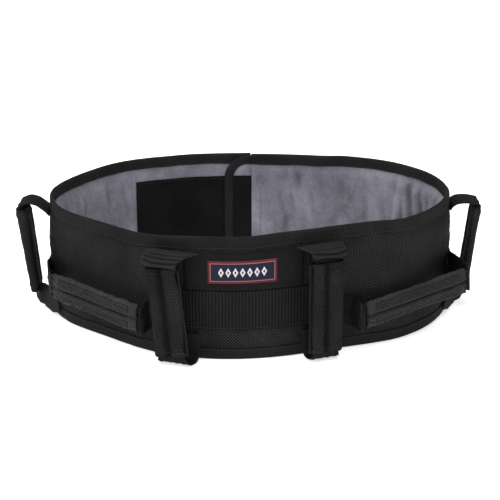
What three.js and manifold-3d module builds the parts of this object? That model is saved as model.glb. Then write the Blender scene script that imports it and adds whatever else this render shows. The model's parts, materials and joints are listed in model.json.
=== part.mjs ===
// A padded gait belt, closed and standing on its lower rim. Millimetres, +Z up, +X to the wearer's
// left as seen from the front, +Y towards the closure at the back. The origin is the middle of the
// whole belt's plan, on the floor.
//
// The belt is a loop of padded wall in three parts: the front with both sides, and two wings whose
// ends meet at the back, where a tab from the right wing laps over the inside of the left one.
// Every layer of the wall follows one line, the outer face of the loop.

import * as THREE from "three";
import { mergeVertices } from "three/addons/utils/BufferGeometryUtils.js";
import Module from "manifold-3d";

const wasm = await Module();
wasm.setup();

// ---- Driving dimensions ----

const beltHeight = 120;
const clearance = 0.3; // between layers that lie on each other

const shellThickness = 1.0;
const foamThickness = 4.0;
const liningThickness = 1.0;
const tapeThickness = 0.7;
const bindingDepth = 12.5; // how far the folded tape reaches down the wall
const patchThickness = 0.8; // hook, loop and label pieces
const webbingThickness = 1.7;
const webbingWidth = 38;
const strapWidth = 25;
const strapThickness = 1.8;

const gripThickness = 12;
const gripCorner = 5;
const uprightGripWidth = 32;
const flankGripWidth = 27;
const sideGripWidth = 30;
const coreOverhang = 2; // how far the webbing core comes out of its sleeve at each end
const tabGap = 1.2; // between the core's end and the sewn strap end that faces it

const wingHingeDistance = 90; // from an end of the back arc to the fold line of its wing
const foldGap = 1.0;
const stationSpacing = 10; // longest straight step along the wall

// Near the closure each wing leaves the common line by this much, the left one outwards, so that the
// tab inside the right wing passes over the left one's inner face.
const leftWingLay = 3.0;
const rightWingLay = -3.0;

// The middle of the whole plan, measured from the loop's own zero.
const planMiddle = new THREE.Vector2(-1.66, -11.84);

// ---- The line of the outer face ----

const backArc = { x: -2, y: -344.2, radius: 460, leftEnd: 101.7, rightEnd: 77.8 };
const arcLead = 5; // degrees of arc that steer the curve before and after it

function arcPoint(degrees, radius = backArc.radius) {
  const angle = THREE.MathUtils.degToRad(degrees);
  return new THREE.Vector3(
    backArc.x + radius * Math.cos(angle),
    backArc.y + radius * Math.sin(angle),
    0,
  );
}

// From the left end of the back arc round the left side, the front and the right side. The first
// and the last point lie on the arc, so that the curve leaves it without a corner.
const sideAndFront = new THREE.CatmullRomCurve3(
  [
    arcPoint(backArc.leftEnd - arcLead),
    arcPoint(backArc.leftEnd),
    new THREE.Vector3(-136, 88.3, 0),
    new THREE.Vector3(-169, 55, 0),
    new THREE.Vector3(-189.6, 21, 0),
    new THREE.Vector3(-194, -4, 0),
    new THREE.Vector3(-179, -36, 0),
    new THREE.Vector3(-139, -71, 0),
    new THREE.Vector3(-88, -107, 0),
    new THREE.Vector3(-36, -121, 0),
    new THREE.Vector3(17, -118, 0),
    new THREE.Vector3(79, -98.5, 0),
    new THREE.Vector3(142, -73.5, 0),
    new THREE.Vector3(177, -36, 0),
    new THREE.Vector3(191, 6, 0),
    new THREE.Vector3(180, 47, 0),
    new THREE.Vector3(143, 86, 0),
    arcPoint(backArc.rightEnd),
    arcPoint(backArc.rightEnd + arcLead),
  ],
  false,
  "centripetal",
);
const spans = sideAndFront.points.length - 1;

// The part of that curve between the two ends of the arc.
class Flank extends THREE.Curve {
  getPoint(t, target = new THREE.Vector3()) {
    return sideAndFront.getPoint((1 + t * (spans - 2)) / spans, target);
  }
}
const flank = new Flank();
const flankLength = flank.getLength();
const arcDegreesPerMm = THREE.MathUtils.radToDeg(1 / backArc.radius);

// A point of the outer face, with the direction that points out of the loop. Distance 0 is the left
// end of the back arc; below 0 and past flankLength the line goes on along the arc.
function linePoint(distance) {
  if (distance < 0 || distance > flankLength) {
    const degrees =
      distance < 0
        ? backArc.leftEnd + distance * arcDegreesPerMm
        : backArc.rightEnd + (distance - flankLength) * arcDegreesPerMm;
    const point = arcPoint(degrees);
    const out = arcPoint(degrees, 1).sub(arcPoint(degrees, 0));
    return { point, out };
  }
  const share = distance / flankLength;
  const tangent = flank.getTangentAt(share);
  return {
    point: flank.getPointAt(share),
    out: new THREE.Vector3(tangent.y, -tangent.x, 0),
  };
}

// The distance along the line that comes nearest to a place in the plan.
function distanceNear(x, y) {
  const place = new THREE.Vector3(x, y, 0);
  let best = 0;
  for (let distance = 0; distance <= flankLength; distance += 0.5) {
    const nearer =
      linePoint(distance).point.distanceTo(place) < linePoint(best).point.distanceTo(place);
    if (nearer) best = distance;
  }
  return best;
}

// The distance, past one end of the flank, at which the back arc stands at a given x.
function backDistance(side, x) {
  const degrees = THREE.MathUtils.radToDeg(Math.acos((x - backArc.x) / backArc.radius));
  return side === "left"
    ? (degrees - backArc.leftEnd) / arcDegreesPerMm
    : flankLength + (degrees - backArc.rightEnd) / arcDegreesPerMm;
}

// A stretch of the line, moved outwards by lay(distance).
class WallLine extends THREE.Curve {
  constructor(from, to, lay = () => 0) {
    super();
    this.from = from;
    this.to = to;
    this.lay = lay;
  }

  getPoint(t, target = new THREE.Vector3()) {
    const distance = THREE.MathUtils.lerp(this.from, this.to, t);
    const { point, out } = linePoint(distance);
    return target.copy(point).addScaledVector(out, this.lay(distance));
  }
}

// ---- Building blocks ----

// A solid whose outline, given as [outward offset, height] pairs, runs along a wall line.
function alongWall(line, outline) {
  const section = new THREE.Shape(
    outline.map(([offset, height]) => new THREE.Vector2(-height, -offset)),
  );
  return new THREE.ExtrudeGeometry(section, {
    steps: Math.max(1, Math.ceil(Math.abs(line.to - line.from) / stationSpacing)),
    bevelEnabled: false,
    extrudePath: line,
  });
}

// A flat layer of the wall between two offsets and two heights.
function layer(line, inner, outer, bottom, top) {
  return alongWall(line, [
    [outer, bottom],
    [outer, top],
    [inner, top],
    [inner, bottom],
  ]);
}

function solidFrom(geometry) {
  const bare = geometry.index ? geometry.toNonIndexed() : geometry.clone();
  bare.deleteAttribute("normal");
  bare.deleteAttribute("uv");
  const merged = mergeVertices(bare, 1e-4);
  return new wasm.Manifold(
    new wasm.Mesh({
      numProp: 3,
      vertProperties: merged.attributes.position.array,
      triVerts: new Uint32Array(merged.index.array),
    }),
  );
}

function geometryFrom(solid) {
  const mesh = solid.getMesh();
  const geometry = new THREE.BufferGeometry();
  geometry.setAttribute("position", new THREE.BufferAttribute(mesh.vertProperties, 3));
  geometry.setIndex(new THREE.BufferAttribute(mesh.triVerts, 1));
  geometry.computeVertexNormals();
  return geometry;
}

function cut(geometry, ...tools) {
  return geometryFrom(
    tools.reduce((solid, tool) => solid.subtract(solidFrom(tool)), solidFrom(geometry)),
  );
}

function common(geometry, other) {
  return geometryFrom(solidFrom(geometry).intersect(solidFrom(other)));
}

// A strap of even thickness that follows a smooth line through flat points, extruded to its width.
function ribbon(points, width, thickness = strapThickness) {
  const line = new THREE.SplineCurve(points.map(([x, y]) => new THREE.Vector2(x, y)));
  const pieces = 5 * (points.length - 1);
  const left = [];
  const right = [];
  for (let i = 0; i <= pieces; i += 1) {
    const point = line.getPoint(i / pieces);
    const tangent = line.getTangent(i / pieces);
    const aside = new THREE.Vector2(-tangent.y, tangent.x).multiplyScalar(thickness / 2);
    left.push(point.clone().add(aside));
    right.push(point.clone().sub(aside));
  }
  const shape = new THREE.Shape([...left, ...right.reverse()]);
  const geometry = new THREE.ExtrudeGeometry(shape, { depth: width, bevelEnabled: false });
  return geometry.translate(0, 0, -width / 2);
}

function roundedRectangle(Kind, width, height, corner) {
  const x = width / 2 - corner;
  const y = height / 2 - corner;
  const outline = new Kind();
  outline.absarc(x, y, corner, 0, Math.PI / 2);
  outline.absarc(-x, y, corner, Math.PI / 2, Math.PI);
  outline.absarc(-x, -y, corner, Math.PI, 1.5 * Math.PI);
  outline.absarc(x, -y, corner, 1.5 * Math.PI, 2 * Math.PI);
  outline.closePath();
  return outline;
}

// ---- Cloths ----

function cloth(colour, roughness) {
  return new THREE.MeshStandardMaterial({ color: colour, roughness, metalness: 0 });
}
const blackCloth = cloth(0x1c1d1f, 0.85);
const blackTape = cloth(0x17181a, 0.8);
const blackWebbing = cloth(0x141517, 0.75);
const greyLining = cloth(0x8b8a93, 0.95);
const foam = cloth(0xd8d6c8, 0.9);
const hookAndLoop = cloth(0x101113, 0.95);
const labelCloth = cloth(0x1d2550, 0.7);

const belt = new THREE.Group();
belt.position.set(-planMiddle.x, -planMiddle.y, 0);

function add(parent, name, geometry, material) {
  const mesh = new THREE.Mesh(geometry, material);
  mesh.name = name;
  parent.add(mesh);
  return mesh;
}

// ---- The wall ----

// Offsets from the outer face, inwards negative.
const foamOuter = -shellThickness - clearance;
const foamInner = foamOuter - foamThickness;
const liningOuter = foamInner - clearance;
const liningInner = liningOuter - liningThickness;
const wallBottom = tapeThickness + clearance;
const wallTop = beltHeight - wallBottom;

function bindingOutline(fromRim) {
  const outer = clearance + tapeThickness;
  const inner = liningInner - clearance - tapeThickness;
  return [
    [outer, fromRim(0)],
    [outer, fromRim(bindingDepth)],
    [clearance, fromRim(bindingDepth)],
    [clearance, fromRim(tapeThickness)],
    [liningInner - clearance, fromRim(tapeThickness)],
    [liningInner - clearance, fromRim(bindingDepth)],
    [inner, fromRim(bindingDepth)],
    [inner, fromRim(0)],
  ];
}

function addWall(name, line, foamLine) {
  add(belt, `${name}_shell`, layer(line, -shellThickness, 0, wallBottom, wallTop), blackCloth);
  add(belt, `${name}_foam`, layer(foamLine, foamInner, foamOuter, wallBottom, wallTop), foam);
  add(
    belt,
    `${name}_lining`,
    layer(line, liningInner, liningOuter, wallBottom, wallTop),
    greyLining,
  );
  const topBinding = bindingOutline((depth) => beltHeight - depth);
  const bottomBinding = bindingOutline((depth) => depth);
  add(belt, `${name}_top_binding`, alongWall(line, topBinding), blackTape);
  add(belt, `${name}_bottom_binding`, alongWall(line, bottomBinding), blackTape);
}

const leftFold = wingHingeDistance;
const rightFold = flankLength - wingHingeDistance;
const frontLine = new WallLine(leftFold + foldGap / 2, rightFold - foldGap / 2);
addWall("front", frontLine, frontLine);

// ---- Wings ----

const sleeveMouthX = 0; // the right wing's open end
const tabTipX = -28;
const tabRootX = 45; // the closure tab's hidden end, inside the right wing
const tabTravel = 20; // each way along the back
const leftWingEndX = -2;
const foamStopX = tabRootX + tabTravel + 3;

// Grows smoothly from nothing at start to the full amount at end, and stays there.
function layBetween(start, end, amount) {
  const reach = Math.abs(end - start);
  return (distance) => amount * THREE.MathUtils.smoothstep(Math.abs(distance - start), 0, reach);
}

const leftLay = layBetween(0, backDistance("left", tabTipX - tabTravel - 10), leftWingLay);
const leftLayOf = (distance) => (distance < 0 ? leftLay(distance) : 0);
const leftWingEnd = backDistance("left", leftWingEndX);
const leftWingLine = new WallLine(leftWingEnd, leftFold - foldGap / 2, leftLayOf);
addWall("left_wing", leftWingLine, leftWingLine);

const rightLay = layBetween(flankLength, backDistance("right", foamStopX), rightWingLay);
const rightLayOf = (distance) => (distance > flankLength ? rightLay(distance) : 0);
const rightWingEnd = backDistance("right", sleeveMouthX);
const rightWingLine = new WallLine(rightFold + foldGap / 2, rightWingEnd, rightLayOf);
const rightFoamLine = new WallLine(
  rightFold + foldGap / 2,
  backDistance("right", foamStopX),
  rightLayOf,
);
addWall("right_wing", rightWingLine, rightFoamLine);

// Tape folded over the left wing's end, between the two rims.
const endTapeBottom = bindingDepth + clearance;
const endTapeTop = beltHeight - endTapeBottom;
const endTape = layer(
  new WallLine(leftWingEnd - clearance - tapeThickness, leftWingEnd + bindingDepth, leftLayOf),
  liningInner - clearance - tapeThickness,
  clearance + tapeThickness,
  endTapeBottom,
  endTapeTop,
);
const endTapeRoom = layer(
  new WallLine(leftWingEnd - clearance, leftWingEnd + 2 * bindingDepth, leftLayOf),
  liningInner - clearance,
  clearance,
  0,
  beltHeight,
);
add(belt, "left_wing_end_binding", cut(endTape, endTapeRoom), blackTape);

// Loop pile on the left wing's lining, which the tab's hooks hold.
const panelBottom = 22;
const panelTop = 98;
const loopPanelLine = new WallLine(
  backDistance("left", leftWingEndX - bindingDepth - 1),
  distanceNear(-118.5, 98),
  leftLayOf,
);
add(
  belt,
  "left_wing_loop_panel",
  layer(
    loopPanelLine,
    liningInner - clearance - patchThickness,
    liningInner - clearance,
    panelBottom,
    panelTop,
  ),
  hookAndLoop,
);

// ---- Closure tab ----

const tabBottom = 3;
const tabTop = beltHeight - tabBottom;
const tabCorner = 25;

// Seen from outside: the tab's outline, drawn in by an inset all round.
function tabPrism(inset) {
  const left = tabTipX + inset;
  const right = tabRootX - inset;
  const bottom = tabBottom + inset;
  const top = tabTop - inset;
  const corner = Math.max(tabCorner - inset, 2);
  const outline = new THREE.Shape();
  outline.moveTo(right, bottom);
  outline.lineTo(right, top);
  outline.lineTo(left + corner, top);
  outline.absarc(left + corner, top - corner, corner, Math.PI / 2, Math.PI);
  outline.lineTo(left, bottom + corner);
  outline.absarc(left + corner, bottom + corner, corner, Math.PI, 1.5 * Math.PI);
  outline.closePath();
  const depth = 60;
  const prism = new THREE.ExtrudeGeometry(outline, { depth, bevelEnabled: false, curveSegments: 8 });
  prism.rotateX(Math.PI / 2);
  return prism.translate(0, backArc.y + backArc.radius + depth / 2, 0);
}

const tabLine = new WallLine(
  backDistance("right", tabRootX + 5),
  backDistance("right", tabTipX - 5),
  () => rightWingLay,
);

function tabPiece(inner, outer, inset) {
  return common(layer(tabLine, inner, outer, 0, beltHeight), tabPrism(inset));
}

const tabTape = 0.6;
const tabInner = liningOuter + clearance; // the tab lies on the back of the right wing's lining
const tabCoreInner = tabInner + tabTape + clearance;
const tabCoreOuter = tabCoreInner + 1.4;
const tabOuter = tabCoreOuter + clearance + tabTape;
add(
  belt,
  "closure_tab_core",
  tabPiece(tabCoreInner, tabCoreOuter, tabTape + clearance),
  greyLining,
);
add(
  belt,
  "closure_tab_binding",
  cut(
    tabPiece(tabInner, tabOuter, 0),
    tabPiece(tabInner + tabTape, tabOuter - tabTape, tabTape),
    tabPiece(tabInner - 1, tabOuter + 1, bindingDepth),
  ),
  blackTape,
);
const hookPanel = tabPiece(tabOuter - tabTape, tabOuter, bindingDepth + clearance);
add(belt, "closure_tab_hook_panel", hookPanel, hookAndLoop);
const innerPanelOutline = layer(tabLine, tabInner, tabInner + tabTape, panelBottom, panelTop);
const innerPanel = common(innerPanelOutline, tabPrism(bindingDepth + clearance));
add(belt, "closure_tab_inner_panel", innerPanel, hookAndLoop);

// ---- Webbing and label in front ----

const webbingBottom = 31;
const webbingLine = new WallLine(distanceNear(-72, -113), distanceNear(67, -101));
add(
  belt,
  "front_webbing",
  layer(
    webbingLine,
    clearance,
    clearance + webbingThickness,
    webbingBottom,
    webbingBottom + webbingWidth,
  ),
  blackWebbing,
);

// An extra panel of cloth over the upper half of the middle, which carries the label.
const overlayThickness = 1.0;
const overlayOuter = clearance + overlayThickness;
const overlayLine = new WallLine(distanceNear(-60, -115.5), distanceNear(45.5, -108));
add(
  belt,
  "front_label_panel",
  layer(
    overlayLine,
    clearance,
    overlayOuter,
    webbingBottom + webbingWidth + clearance,
    105.5,
  ),
  blackCloth,
);

const labelLength = 62;
const labelInner = overlayOuter + clearance;
const labelMiddle = distanceNear(-8, -118);
const labelLine = new WallLine(labelMiddle - labelLength / 2, labelMiddle + labelLength / 2);
add(
  belt,
  "label_patch",
  layer(labelLine, labelInner, labelInner + patchThickness, 73, 97),
  labelCloth,
);

// ---- Grips ----

// Puts a geometry drawn in its own x, y and z into three given directions from a given place.
function place(geometry, origin, x, y, z) {
  const matrix = new THREE.Matrix4().makeBasis(x, y, z).setPosition(origin);
  return geometry.applyMatrix4(matrix);
}

// The padded sleeve and the webbing core through it, straight from start to end. The sleeve's flat
// side faces out.
function addSleeve(name, start, end, out, width) {
  const along = end.clone().sub(start).normalize();
  const across = new THREE.Vector3().crossVectors(out, along).normalize();
  const face = new THREE.Vector3().crossVectors(along, across);
  const length = end.distanceTo(start);
  const section = roundedRectangle(THREE.Shape, width, gripThickness, gripCorner);
  const slotWidth = strapWidth - 2 + 2 * clearance;
  const slot = roundedRectangle(THREE.Path, slotWidth, strapThickness + 2 * clearance, 0.6);
  section.holes.push(slot);
  const sleeve = new THREE.ExtrudeGeometry(section, {
    depth: length,
    bevelEnabled: false,
    curveSegments: 3,
  });
  add(belt, `${name}_grip`, place(sleeve, start, across, face, along), blackCloth);
  const coreLength = length + 2 * coreOverhang;
  const core = new THREE.BoxGeometry(strapWidth - 2, strapThickness, coreLength);
  const middle = start.clone().lerp(end, 0.5);
  add(belt, `${name}_core`, place(core, middle, across, face, along), blackWebbing);
}

const up = new THREE.Vector3(0, 0, 1);

// A grip that stands upright. Its strap ends are drawn as [height, stand-off] points.
function addUprightGrip(name, grip) {
  const wall = linePoint(grip.distance);
  const aside = new THREE.Vector3().crossVectors(up, wall.out);
  const spot = ([height, standOff, shift]) =>
    wall.point
      .clone()
      .addScaledVector(wall.out, standOff)
      .addScaledVector(aside, shift)
      .setZ(height);
  addSleeve(name, spot(grip.bottom), spot(grip.top), wall.out, grip.width);
  for (const [end, points, shift] of [
    ["upper", grip.upperTab, grip.top[2]],
    ["lower", grip.lowerTab, grip.bottom[2]],
  ]) {
    const origin = wall.point.clone().addScaledVector(aside, shift);
    const strap = place(ribbon(points, strapWidth), origin, up, wall.out, aside);
    add(belt, `${name}_${end}_tab`, strap, blackWebbing);
  }
  return { wall, aside };
}

const gripBottom = 10.5;
const sewnOffset = clearance + strapThickness / 2;
const overBinding = sewnOffset + clearance + tapeThickness;

// A leaning grip's core has one corner higher than its middle, so its strap ends stop sooner.
function endGap(lean) {
  return coreOverhang + tabGap + (strapWidth / 2) * lean;
}

function lowerTabTo(standOff, lean) {
  return [
    [27, overBinding],
    [10, overBinding],
    [3.5, 4.5],
    [1.8, standOff / 2],
    [2.4, standOff - 4],
    [gripBottom - endGap(lean), standOff],
  ];
}

function slopingTab(gripTop, standOff, lean) {
  const end = gripTop + endGap(lean);
  return [
    [end, standOff],
    [end + 1.6, standOff - 4],
    [end + 0.8, standOff / 2],
    [102, sewnOffset + 1.8],
    [95, sewnOffset],
    [88, sewnOffset],
  ];
}

// The wide flap over an upright grip's upper strap end, sewn along its top edge. Its root is centred
// on the wall place, its free end on the grip.
function addAnchorFlap(name, grip, { wall, aside }) {
  const [gripTop, standOff, shift] = grip.top;
  const { topWidth, endWidth } = grip.flap;
  const end = gripTop + endGap(grip.lean);
  const sheet = ribbon(
    [
      [106.2, 1.9],
      [106.2, standOff / 2],
      [end + 3.6, standOff - 1],
      [end - 0.5, standOff + 2.1],
    ],
    topWidth + 2 * Math.abs(shift),
    1.0,
  );
  const reach = standOff + 6;
  const outline = new THREE.Shape([
    new THREE.Vector2(0, -shift - topWidth / 2),
    new THREE.Vector2(reach, -endWidth / 2),
    new THREE.Vector2(reach, endWidth / 2),
    new THREE.Vector2(0, -shift + topWidth / 2),
  ]);
  const wedge = new THREE.ExtrudeGeometry(outline, { depth: beltHeight, bevelEnabled: false });
  const yAxis = new THREE.Vector3(0, 1, 0);
  const xAxis = new THREE.Vector3(1, 0, 0);
  place(wedge, new THREE.Vector3(), yAxis, up, xAxis);
  const origin = wall.point.clone().addScaledVector(aside, shift);
  const flap = place(common(sheet, wedge), origin, up, wall.out, aside);
  add(belt, `${name}_anchor_flap`, flap, blackCloth);
}

const frontStandOff = 20;

function addFrontGrip(name, x, y, gripTop, sideStep, flap) {
  const lean = (2 * sideStep) / (gripTop - gripBottom);
  const grip = {
    distance: distanceNear(x, y),
    width: uprightGripWidth,
    top: [gripTop, frontStandOff, -sideStep],
    bottom: [gripBottom, frontStandOff, sideStep],
    upperTab: slopingTab(gripTop, frontStandOff, lean),
    lowerTab: lowerTabTo(frontStandOff, lean),
    lean,
    flap,
  };
  addAnchorFlap(name, grip, addUprightGrip(name, grip));
}
addFrontGrip("front_left", -70.3, -113.5, 96, 4.3, { topWidth: 48, endWidth: 32 });
addFrontGrip("front_right", 60.3, -103, 98.5, 0, { topWidth: 46, endWidth: 34 });

// The side loops stand further off at the top than at the bottom.
const sideTopStandOff = 25;
const sideBottomStandOff = 16;
const sideGripTop = 101;
const sideGripBottom = 20;

function sideLoop(distance) {
  const upperEnd = sideGripTop + coreOverhang + tabGap;
  const lowerEnd = sideGripBottom - coreOverhang - tabGap;
  return {
    distance,
    width: sideGripWidth,
    top: [sideGripTop, sideTopStandOff, 0],
    bottom: [sideGripBottom, sideBottomStandOff, 0],
    upperTab: [
      [86, sewnOffset],
      [97, sewnOffset],
      [105, 4.5],
      [111, 14],
      [111.5, 22],
      [upperEnd, sideTopStandOff + 0.6],
    ],
    lowerTab: [
      [lowerEnd, sideBottomStandOff - 0.5],
      [11, sideBottomStandOff - 4],
      [5.5, 7],
      [7, overBinding + 0.6],
      [13, overBinding],
      [24, overBinding],
    ],
  };
}
addUprightGrip("left_side", sideLoop(distanceNear(-194.5, 2)));
addUprightGrip("right_side", sideLoop(distanceNear(191, 10)));

// A grip that lies along the flank, from its front end to its rear end. Each strap end runs from
// the wall, where it is sewn between two plan places, to the end of the core.
function addFlankGrip(name, grip) {
  const along = grip.rear.clone().sub(grip.front).normalize();
  const out = new THREE.Vector3().crossVectors(along, up).multiplyScalar(grip.side).normalize();
  addSleeve(name, grip.front, grip.rear, out, flankGripWidth);
  for (const [end, tip, direction, sewn] of [
    ["front", grip.front, -1, grip.frontSewn],
    ["rear", grip.rear, 1, grip.rearSewn],
  ]) {
    const stop = tip.clone().addScaledVector(along, direction * endGap(Math.abs(along.z)));
    const bend = stop
      .clone()
      .addScaledVector(along, direction * 5)
      .addScaledVector(out, -3.5);
    const lift = [2.4, 0.5, 0.2]; // the strap comes down onto the wall gently
    const onWall = sewn.map((distance, i) => {
      const { point, out: wallOut } = linePoint(distance);
      return point.clone().addScaledVector(wallOut, sewnOffset + lift[i]);
    });
    const strap = ribbon(
      [stop, bend, ...onWall].map((point) => [point.x, point.y]),
      strapWidth,
    );
    add(belt, `${name}_${end}_tab`, strap.translate(0, 0, tip.z), blackWebbing);
  }
}

function spread(x, y, ...steps) {
  const start = distanceNear(x, y);
  return steps.map((step) => start + step);
}

addFlankGrip("left_flank", {
  side: -1,
  front: new THREE.Vector3(-102.7, -121, 41.5),
  rear: new THREE.Vector3(-185, -60, 47.5),
  frontSewn: spread(-89, -106.5, 0, 6.5, 13),
  rearSewn: spread(-194, -12, 0, -9, -18),
});
addFlankGrip("right_flank", {
  side: 1,
  front: new THREE.Vector3(104, -109.5, 39),
  rear: new THREE.Vector3(201, -48, 48),
  frontSewn: spread(90, -94.5, 0, -7, -14),
  rearSewn: spread(189.5, -4, 0, 9, 18),
});

const group = new THREE.Group();
group.add(belt);
export default group;
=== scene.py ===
import json
import math

import bpy
import numpy as np
from mathutils import Matrix, Vector


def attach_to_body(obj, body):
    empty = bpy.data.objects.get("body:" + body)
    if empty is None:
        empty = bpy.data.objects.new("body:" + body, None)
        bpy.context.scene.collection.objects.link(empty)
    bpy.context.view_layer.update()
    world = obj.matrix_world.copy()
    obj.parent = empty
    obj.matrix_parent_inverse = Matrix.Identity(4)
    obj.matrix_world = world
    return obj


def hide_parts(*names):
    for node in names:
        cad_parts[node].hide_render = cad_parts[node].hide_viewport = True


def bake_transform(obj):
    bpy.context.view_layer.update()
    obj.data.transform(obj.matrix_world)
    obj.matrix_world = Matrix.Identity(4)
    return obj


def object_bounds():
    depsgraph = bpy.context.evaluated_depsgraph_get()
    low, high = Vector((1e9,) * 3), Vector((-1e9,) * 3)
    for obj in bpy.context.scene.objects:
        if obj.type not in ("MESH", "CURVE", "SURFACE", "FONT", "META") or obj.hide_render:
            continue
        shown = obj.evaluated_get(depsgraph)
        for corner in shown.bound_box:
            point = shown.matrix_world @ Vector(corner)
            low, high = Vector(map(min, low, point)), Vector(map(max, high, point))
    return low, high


# A padded gait belt. Lengths are in millimetres until a mesh or a lamp is made; the scene is in metres.
MM = 0.001

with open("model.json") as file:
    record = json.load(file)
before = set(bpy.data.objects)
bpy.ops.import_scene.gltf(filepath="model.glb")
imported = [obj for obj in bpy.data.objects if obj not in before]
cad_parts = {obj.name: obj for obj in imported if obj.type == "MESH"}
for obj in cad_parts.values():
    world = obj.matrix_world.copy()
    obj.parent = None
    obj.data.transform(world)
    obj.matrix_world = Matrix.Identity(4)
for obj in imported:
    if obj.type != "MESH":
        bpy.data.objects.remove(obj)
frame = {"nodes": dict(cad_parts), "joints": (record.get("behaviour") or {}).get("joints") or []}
cad_box = [list(corner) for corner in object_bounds()]
joints = {joint["name"]: joint for joint in frame["joints"]}


# ---- Small numeric helpers ----

def unit(v):
    return v / np.linalg.norm(v, axis=-1, keepdims=True)


def smoothstep(x, low, high):
    t = np.clip((np.asarray(x, float) - low) / (high - low), 0, 1)
    return t * t * (3 - 2 * t)


def between(x, low, high, soft):
    """1 inside low..high, fading to 0 over soft outside of it."""
    return smoothstep(x, low - soft, low) * (1 - smoothstep(x, high, high + soft))


def ripples(u, v, seed, wavelength, waves=7):
    """Smooth uneven waves of about unit height, the same on each run."""
    rng = np.random.RandomState(seed)
    total = 0
    for _ in range(waves):
        turn = rng.uniform(0, math.pi)
        length = wavelength * rng.uniform(0.65, 1.7)
        phase = rng.uniform(0, 2 * math.pi)
        total = total + np.sin(2 * math.pi * (u * math.cos(turn) + v * math.sin(turn)) / length + phase)
    return total / math.sqrt(waves / 2) * 0.7


def smooth_path(controls, count):
    """A Catmull-Rom curve through the control points, evenly spaced."""
    p = np.asarray(controls, float)
    p = np.vstack([2 * p[0] - p[1], p, 2 * p[-1] - p[-2]])
    t = np.linspace(0, 1, 24, endpoint=False)[:, None]
    dense = []
    for i in range(1, len(p) - 2):
        a, b, c, d = p[i - 1], p[i], p[i + 1], p[i + 2]
        dense.append(0.5 * (2 * b + (c - a) * t + (2 * a - 5 * b + 4 * c - d) * t**2 + (3 * b - a - 3 * c + d) * t**3))
    dense = np.vstack(dense + [p[-2:-1]])
    reach = np.concatenate([[0], np.cumsum(np.linalg.norm(np.diff(dense, axis=0), axis=1))])
    want = np.linspace(0, reach[-1], count)
    return np.stack([np.interp(want, reach, dense[:, k]) for k in range(dense.shape[1])], -1)


def eased(low, high, step, edge=0.35):
    """Even steps from low to high, with one short step at each end for a rounded edge."""
    inner = np.linspace(low + edge, high - edge, max(2, int(round((high - low) / step)) + 1))
    return np.concatenate([[low], inner, [high]])


def node_points(name):
    co = np.array([v.co for v in frame["nodes"][name].data.vertices], float) / MM
    keep = []
    for point in co:
        if not keep or np.min(np.linalg.norm(np.array(keep) - point, axis=1)) > 0.02:
            keep.append(point)
    return np.array(keep)


# ---- The line of the wall's outer face ----

class Line:
    """A smooth plan line through the shells' outer corners, by distance s from the left wing's end."""

    def __init__(self, corners):
        p = np.asarray(corners, float)
        s = np.concatenate([[0], np.cumsum(np.linalg.norm(np.diff(p, axis=0), axis=1))])
        slope = np.gradient(p, s, axis=0)
        dense = []
        for i in range(len(p) - 1):
            h = s[i + 1] - s[i]
            t = np.linspace(0, 1, max(2, int(h / 0.5)), endpoint=False)[:, None]
            dense.append(
                (2 * t**3 - 3 * t**2 + 1) * p[i]
                + (t**3 - 2 * t**2 + t) * h * slope[i]
                + (3 * t**2 - 2 * t**3) * p[i + 1]
                + (t**3 - t**2) * h * slope[i + 1]
            )
        self.xy = np.vstack(dense + [p[-1:]])
        self.s = np.concatenate([[0], np.cumsum(np.linalg.norm(np.diff(self.xy, axis=0), axis=1))])
        self.tangent = unit(np.gradient(self.xy, self.s, axis=0))
        self.length = self.s[-1]
        self.sag = lambda s: 0.0

    def place(self, s, offset, z):
        s, offset, z = np.broadcast_arrays(*(np.asarray(a, float) for a in (s, offset, z)))
        z = z - self.sag(s) * smoothstep(z, 50, 116)
        x, y, tx, ty = (
            np.interp(s, self.s, column)
            for column in (self.xy[:, 0], self.xy[:, 1], self.tangent[:, 0], self.tangent[:, 1])
        )
        size = np.hypot(tx, ty)
        return np.stack([x + offset * ty / size, y - offset * tx / size, z], -1)

    def out(self, s):
        direction = self.place(s, 1.0, 0.0) - self.place(s, 0.0, 0.0)
        return unit(direction)

    def near(self, place, low=0.0, high=None):
        high = self.length if high is None else high
        reach = np.hypot(*(self.xy - np.asarray(place, float)[:2]).T)
        reach[(self.s < low) | (self.s > high)] = 1e9
        return float(self.s[np.argmin(reach)])


def shell_corners(node, first_angle):
    """The outer corners of a shell's lower edge, in order round the loop."""
    points = node_points(node)
    low = points[points[:, 2] < points[:, 2].min() + 0.05][:, :2]
    outer = []
    for i, a in enumerate(low):
        reach = np.hypot(*(low - a).T)
        reach[i] = 1e9
        b = low[np.argmin(reach)]
        if (a - b) @ a > 0:
            outer.append(a)
    outer = np.array(outer)
    angle = (np.degrees(np.arctan2(outer[:, 1], outer[:, 0])) - first_angle) % 360
    return outer[np.argsort(angle)]


corners = np.vstack(
    [shell_corners("left_wing_shell", 0), shell_corners("front_shell", 100), shell_corners("right_wing_shell", 300)]
)
merged = [corners[0]]
for corner in corners[1:]:
    if np.hypot(*(corner - merged[-1])) < 2:
        merged[-1] = (merged[-1] + corner) / 2
    else:
        merged.append(corner)
wall = Line(merged)


def joint_place(name):
    return np.array(joints[name]["pos_m"], float) / MM


fold_left = wall.near(joint_place("left_wing_opening"), 0, wall.length / 2)
fold_right = wall.near(joint_place("right_wing_opening"), wall.length / 2)
seam_left = wall.near(joint_place("left_side_swing"), fold_left, wall.length / 2)
seam_right = wall.near(joint_place("right_side_swing"), wall.length / 2, fold_right)
sag_end = wall.near((-38, -121), fold_left, fold_right)
rise_from, rise_to = (wall.near(place, fold_left, fold_right) for place in ((38, -118), (112, -88)))


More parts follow.
